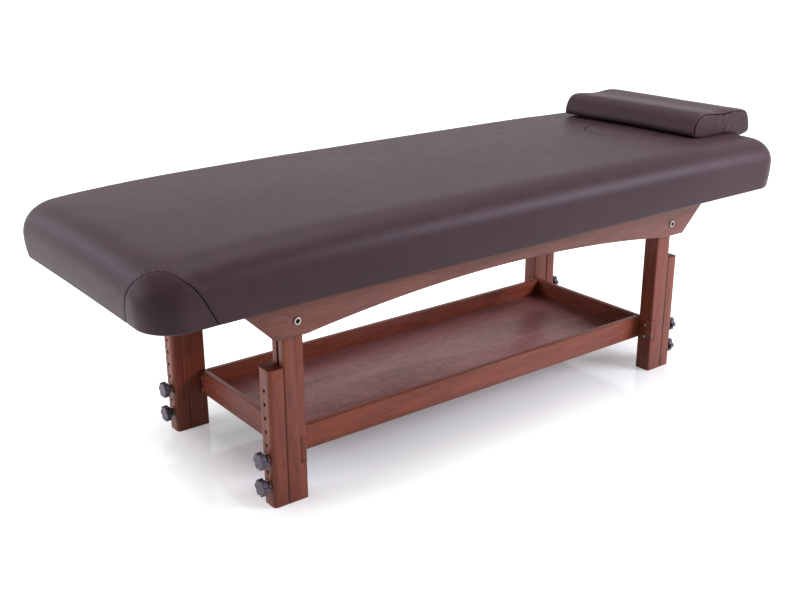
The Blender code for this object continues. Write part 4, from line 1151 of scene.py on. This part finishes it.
class TABLE_OT_tray(bpy.types.Operator):
    """Tray between the posts, with its small bolts and screws"""
    bl_idname = "massage_table.tray"
    bl_label = "Tray"

    def execute(self, context):
        along = stained_wood("tray side wood", "X", 1.1)
        across = stained_wood("tray end wood", "Y", 1.0, end_tone=1.1)
        finish_wood([f"tray_side_rail_{side}" for side in SIDES], along)
        finish_wood([f"tray_end_rail_{end}" for end in ENDS], across)
        finish_wood(["tray_panel"], panel_wood("tray panel wood"))
        self.cap_fixings()
        return {"FINISHED"}

    def cap_fixings(self):
        """Plated heads over the tray's bolts and screws."""
        nickel = plated_metal("tray fixing plating", settings("fittings").nickel_colour, 0.30)
        for end, end_sign in ENDS.items():
            bolt_x = end_sign * POST_LOW.x
            screw_x = end_sign * (POST_LOW.x + RAIL_PAST_POST + CLEARANCE)
            for side, side_sign in SIDES.items():
                bolt_y = side_sign * (POST_LOW.y + POST_HIGH.y) / 2
                screw_y = side_sign * (POST_LOW.y - CLEARANCE - HALF_RAIL)
                for number, z in enumerate(FIXING_HEIGHTS):
                    place = f"{end}_{side}_{number}"
                    bolt = socket_head(f"tray_bolt_{place}", 0.0103, 0.0032, 0.004,
                                       (bolt_x, bolt_y, z), "X", -end_sign)
                    screw = socket_head(f"tray_screw_{place}", 0.0093, 0.0027, 0.0035,
                                        (screw_x, screw_y, z), "X", end_sign)
                    for piece in (bolt, screw):
                        set_material(piece, nickel)
                        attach(piece, "table")


def socket_head(name, diameter, thick, socket, seat, axis, sign):
    """A rounded bolt head with a hexagon socket, standing out of its seat."""
    index = "XYZ".index(axis)
    centre = list(seat)
    centre[index] += sign * thick / 2
    piece = add_cylinder(name, diameter / 2, thick, centre, axis, 48)
    round_edges(piece, thick * 0.32, 4)
    centre[index] = seat[index] + sign * thick
    hexagon = add_cylinder("socket", socket / 2 * 1.155, thick * 1.5, centre, axis, 6)
    combine(piece, hexagon, "DIFFERENCE")
    keep_recess(piece, seat, socket / 2 * 1.17, index)
    smooth_by_angle(piece)
    return piece


def keep_recess(piece, seat, radius, index):
    """Keep a value that is 1 in a socket and 0 on the rest of its head."""
    away = mesh_points(piece.data) - np.array(seat)
    away[:, index] = 0
    add_values(piece.data, "recess", (np.linalg.norm(away, axis=1) < radius).astype(float))


class TABLE_OT_board(bpy.types.Operator):
    """Plywood board in the cushion's underside"""
    bl_idname = "massage_table.board"
    bl_label = "Base board"

    def execute(self, context):
        set_material(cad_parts["base_board"], plywood("board plywood"))
        return {"FINISHED"}


BOLT_HEAD_THICK = 0.003
BOLT_RADIUS = 0.0035


class TABLE_OT_fittings(bpy.types.Operator):
    """Apron bolts, cross dowels, washers, nut rails and knob screws"""
    bl_idname = "massage_table.fittings"
    bl_label = "Metal fittings"

    def execute(self, context):
        nickel = plated_metal("nickel plating", settings("fittings").nickel_colour, 0.24)
        steel = plated_metal("zinc plating", (0.50, 0.50, 0.51), 0.38, 0.3)
        for name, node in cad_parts.items():
            if name.startswith(("nut_rail", "knob_screw", "cross_dowel")):
                set_material(node, steel)
        for end in ENDS:
            for side, side_sign in SIDES.items():
                self.apron_bolt(f"apron_bolt_{end}_{side}", side_sign, nickel)
                for height in KNOB_HEIGHTS:
                    self.washer(f"{end}_{side}", height, nickel)
        return {"FINISHED"}

    def apron_bolt(self, node, side_sign, material):
        low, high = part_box(node)
        x, _, z = box_middle(low, high)
        seat_y = (low.y + BOLT_HEAD_THICK) if side_sign < 0 else (high.y - BOLT_HEAD_THICK)
        piece = socket_head(f"{node}_head", settings("fittings").bolt_head, BOLT_HEAD_THICK, 0.0085,
                            (x, seat_y, z), "Y", side_sign)
        reach = high.y - low.y - BOLT_HEAD_THICK
        centre = (x, seat_y - side_sign * reach / 2, z)
        combine(piece, add_cylinder("shank", BOLT_RADIUS, reach, centre, "Y", 24), "UNION")
        smooth_by_angle(piece)
        set_material(piece, material)
        hold(piece, "table", node)

    def washer(self, leg, height, material):
        node = f"washer_{leg}_{height}"
        low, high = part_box(node)
        centre = box_middle(low, high)
        thick = high.x - low.x
        piece = add_cylinder(f"{node}_ring", (high.z - low.z) / 2, thick, centre, "X")
        combine(piece, add_cylinder("bore", 0.0045, thick * 3, centre, "X", 32), "DIFFERENCE")
        round_edges(piece, 0.0003, 2)
        smooth_by_angle(piece)
        set_material(piece, material)
        hold(piece, f"leg_{leg}", node)


HUB_LONG, HUB_OVERLAP = 0.009, 0.004
KNOB_BORE, KNOB_BORE_LONG = 0.0043, 0.0286
LOBE_DEPTH = 0.0038


class TABLE_OT_knobs(bpy.types.Operator):
    """Star knobs with six lobes that clamp the legs"""
    bl_idname = "massage_table.knobs"
    bl_label = "Knobs"

    def execute(self, context):
        black = moulded_plastic("knob plastic", settings("fittings").knob_colour, 0.46)
        pattern = "knob_head_back_upper"
        model = self.model(*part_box(pattern))
        origin = self.seat(pattern, 1)
        for end, end_sign in ENDS.items():
            turn = Matrix.Rotation(0 if end_sign > 0 else math.pi, 4, "Z")
            for side in SIDES:
                for height in KNOB_HEIGHTS:
                    node = f"knob_{end}_{side}_{height}"
                    place = Matrix.Translation(self.seat(node, end_sign))
                    piece = model.copy()
                    piece.data = model.data.copy()
                    piece.name = piece.data.name = f"{node}_moulding"
                    bpy.context.scene.collection.objects.link(piece)
                    piece.data.transform(place @ turn @ Matrix.Translation(-origin))
                    set_material(piece, black)
                    hold(piece, node, node)
        bpy.data.objects.remove(model)
        return {"FINISHED"}

    def seat(self, node, end_sign):
        """Middle of the face that a knob turns towards its leg."""
        low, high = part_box(node)
        return Vector((low.x if end_sign > 0 else high.x, *box_middle(low, high)[1:]))

    def model(self, low, high):
        """One knob: a scalloped grip on a round hub, bored for its screw."""
        fittings = settings("fittings")
        x, y, z = box_middle(low, high)
        radius = fittings.knob_diameter / 2
        grip = add_cylinder("knob_model", radius, high.x - low.x - HUB_LONG,
                            ((low.x + HUB_LONG + high.x) / 2, y, z), "X", 120)
        hollow = radius * 0.32
        reach = radius - LOBE_DEPTH + hollow
        for number in range(fittings.lobes):
            angle = math.tau * (number + 0.5) / fittings.lobes
            centre = (x, y + reach * math.cos(angle), z + reach * math.sin(angle))
            combine(grip, add_cylinder("hollow", hollow, 0.05, centre, "X", 40), "DIFFERENCE")
        round_edges(grip, 0.0026, 5, 25)
        hub_long = HUB_LONG + HUB_OVERLAP
        hub = add_cylinder("hub", fittings.hub_diameter / 2, hub_long,
                           (low.x + hub_long / 2, y, z), "X")
        round_edges(hub, 0.0008, 2)
        combine(grip, hub, "UNION")
        bore = add_cylinder("bore", KNOB_BORE, KNOB_BORE_LONG, (low.x, y, z), "X", 32)
        combine(grip, bore, "DIFFERENCE")
        smooth_by_angle(grip, 40)
        return grip


WHITE = (1, 1, 1)
COOL = (0.98, 0.94, 1.14)
BLUISH = (0.94, 0.93, 1.16)
# Name, setting of its power, size, place, aim and colour
LAMPS = (
    ("overhead lamp", "overhead", (2.4, 1.9), (0.0, 0.0, 3.2), (0.0, 0.0, 0.0), WHITE),
    ("foot lamp", "foot_light", (0.9, 0.9), (-3.4, 0.9, 1.3), (-0.4, 0.0, 0.5), COOL),
    ("back lamp", "back_light", (2.0, 1.4), (-2.6, 2.6, 1.9), (-0.7, 0.0, 0.6), BLUISH),
    ("head lamp", "head_light", (1.8, 1.1), (2.5, -2.7, 1.8), (0.2, -0.2, 0.5), COOL),
)
CAMERA_PLACE = (-1.7237, -2.1084, 1.2590)
CAMERA_YAW, CAMERA_PITCH, CAMERA_ROLL = 0.9203, -0.3473, -0.0038
CAMERA_LENS, CAMERA_SENSOR = 48.49, 36


class TABLE_OT_stage(bpy.types.Operator):
    """Pale floor, soft lamps and the camera"""
    bl_idname = "massage_table.stage"
    bl_label = "Stage"

    def execute(self, context):
        stage = settings("stage")
        self.floor(stage)
        self.world(stage)
        for name, power, size, place, aim, colour in LAMPS:
            self.lamp(name, getattr(stage, power), size, place, aim, colour)
        self.camera()
        context.scene.view_settings.view_transform = "Standard"
        return {"FINISHED"}

    def floor(self, stage):
        """A pale floor that keeps the shadow and glows white further out."""
        bpy.ops.object.select_all(action="DESELECT")
        bpy.ops.mesh.primitive_plane_add(size=60, location=(0, 0, 0))
        floor = new_piece("floor")
        n = MaterialNodes("floor paint")
        paint = n.finish(stage.floor_colour, 0.10, specular=0.38)
        # Painted light: the glow grows from 0.15 over the table's shadow to 1.0 half a metre beyond
        # it, which narrows the shadow.
        beyond = n.levels(self.beyond_table(n), 0.0, 0.50, 0.15, 1.0)
        glow = n.add("Emission", {"Color": WHITE, "Strength": n.times(n.seen_directly(), beyond)})
        n.show(n.add("AddShader", {0: n.shader.outputs[0], 1: glow.outputs[0]}))
        set_material(floor, paint)

    def beyond_table(self, n):
        """Distance on the floor from the middle of the table's shadow."""
        parts = n.add("SeparateXYZ", {0: n.position()}).outputs
        squares = []
        for part, half, steepness in ((parts[0], 0.60, 1.7), (parts[1], 0.12, 1.0)):
            gap = n.math("MAXIMUM", n.math("SUBTRACT", n.math("ABSOLUTE", part), half), 0.0)
            gap = n.times(gap, steepness)
            squares.append(n.times(gap, gap))
        return n.math("SQRT", n.math("ADD", *squares))

    def world(self, stage):
        """Even light from all round, seen as white."""
        world = bpy.data.worlds.new("studio")
        bpy.context.scene.world = world
        n = Nodes(world, "OutputWorld")
        light, white = (n.add("Background", {"Color": WHITE, "Strength": strength}).outputs[0]
                        for strength in (stage.fill, 1.0))
        n.show(n.add("MixShader", {0: n.seen_directly(), 1: light, 2: white}))

    def lamp(self, name, power, size, place, aim, colour):
        light = bpy.data.lights.new(name, "AREA")
        light.shape = "RECTANGLE"
        light.size, light.size_y = size
        light.energy = power
        light.color = colour
        lamp = bpy.data.objects.new(name, light)
        lamp.location = place
        lamp.rotation_euler = (Vector(aim) - Vector(place)).to_track_quat("-Z", "Y").to_euler()
        lamp.visible_camera = False
        bpy.context.scene.collection.objects.link(lamp)

    def camera(self):
        data = bpy.data.cameras.new("camera")
        data.sensor_width = CAMERA_SENSOR
        data.lens = CAMERA_LENS
        camera = bpy.data.objects.new("camera", data)
        flat = math.cos(CAMERA_PITCH)
        forward = Vector((flat * math.cos(CAMERA_YAW), flat * math.sin(CAMERA_YAW),
                          math.sin(CAMERA_PITCH)))
        level = Vector((math.sin(CAMERA_YAW), -math.cos(CAMERA_YAW), 0))
        upright = level.cross(forward)
        right = level * math.cos(CAMERA_ROLL) + upright * math.sin(CAMERA_ROLL)
        up = upright * math.cos(CAMERA_ROLL) - level * math.sin(CAMERA_ROLL)
        rows = zip(right, up, -forward, CAMERA_PLACE)
        camera.matrix_world = Matrix([*rows, (0, 0, 0, 1)])
        bpy.context.scene.collection.objects.link(camera)
        bpy.context.scene.camera = camera


class TABLE_PT_sidebar(bpy.types.Panel):
    """All pieces of the table, in the order they are made"""
    bl_idname = "TABLE_PT_sidebar"
    bl_label = "Massage table"
    bl_space_type = "VIEW_3D"
    bl_region_type = "UI"
    bl_category = "Table"

    def draw(self, context):
        for kind in SETTINGS:
            box = self.layout.box()
            group = settings(kind)
            for name in group.bl_rna.properties.keys():
                if name not in ("rna_type", "name"):
                    box.prop(group, name)
        for operator in OPERATORS:
            self.layout.operator(operator.bl_idname)


SETTINGS = {"cover": CoverSettings, "wood": WoodSettings, "fittings": FittingSettings,
            "stage": StageSettings}
OPERATORS = (
    TABLE_OT_stage, TABLE_OT_cushion_cover, TABLE_OT_plug_cover, TABLE_OT_pillow_cover,
    TABLE_OT_board, TABLE_OT_frame_wood, TABLE_OT_legs, TABLE_OT_tray, TABLE_OT_fittings,
    TABLE_OT_knobs,
)


def register():
    for kind, group in SETTINGS.items():
        bpy.utils.register_class(group)
        setattr(bpy.types.Scene, f"table_{kind}", PointerProperty(type=group))
    for operator in OPERATORS:
        bpy.utils.register_class(operator)
    bpy.utils.register_class(TABLE_PT_sidebar)


def unregister():
    bpy.utils.unregister_class(TABLE_PT_sidebar)
    for operator in reversed(OPERATORS):
        bpy.utils.unregister_class(operator)
    for kind, group in reversed(SETTINGS.items()):
        delattr(bpy.types.Scene, f"table_{kind}")
        bpy.utils.unregister_class(group)


def main():
    register()
    bpy.ops.massage_table.stage()
    bpy.ops.massage_table.cushion_cover()
    bpy.ops.massage_table.plug_cover()
    bpy.ops.massage_table.pillow_cover()
    bpy.ops.massage_table.board()
    bpy.ops.massage_table.frame_wood()
    bpy.ops.massage_table.legs()
    bpy.ops.massage_table.tray()
    bpy.ops.massage_table.fittings()
    bpy.ops.massage_table.knobs()


if __name__ == "__main__":
    main()
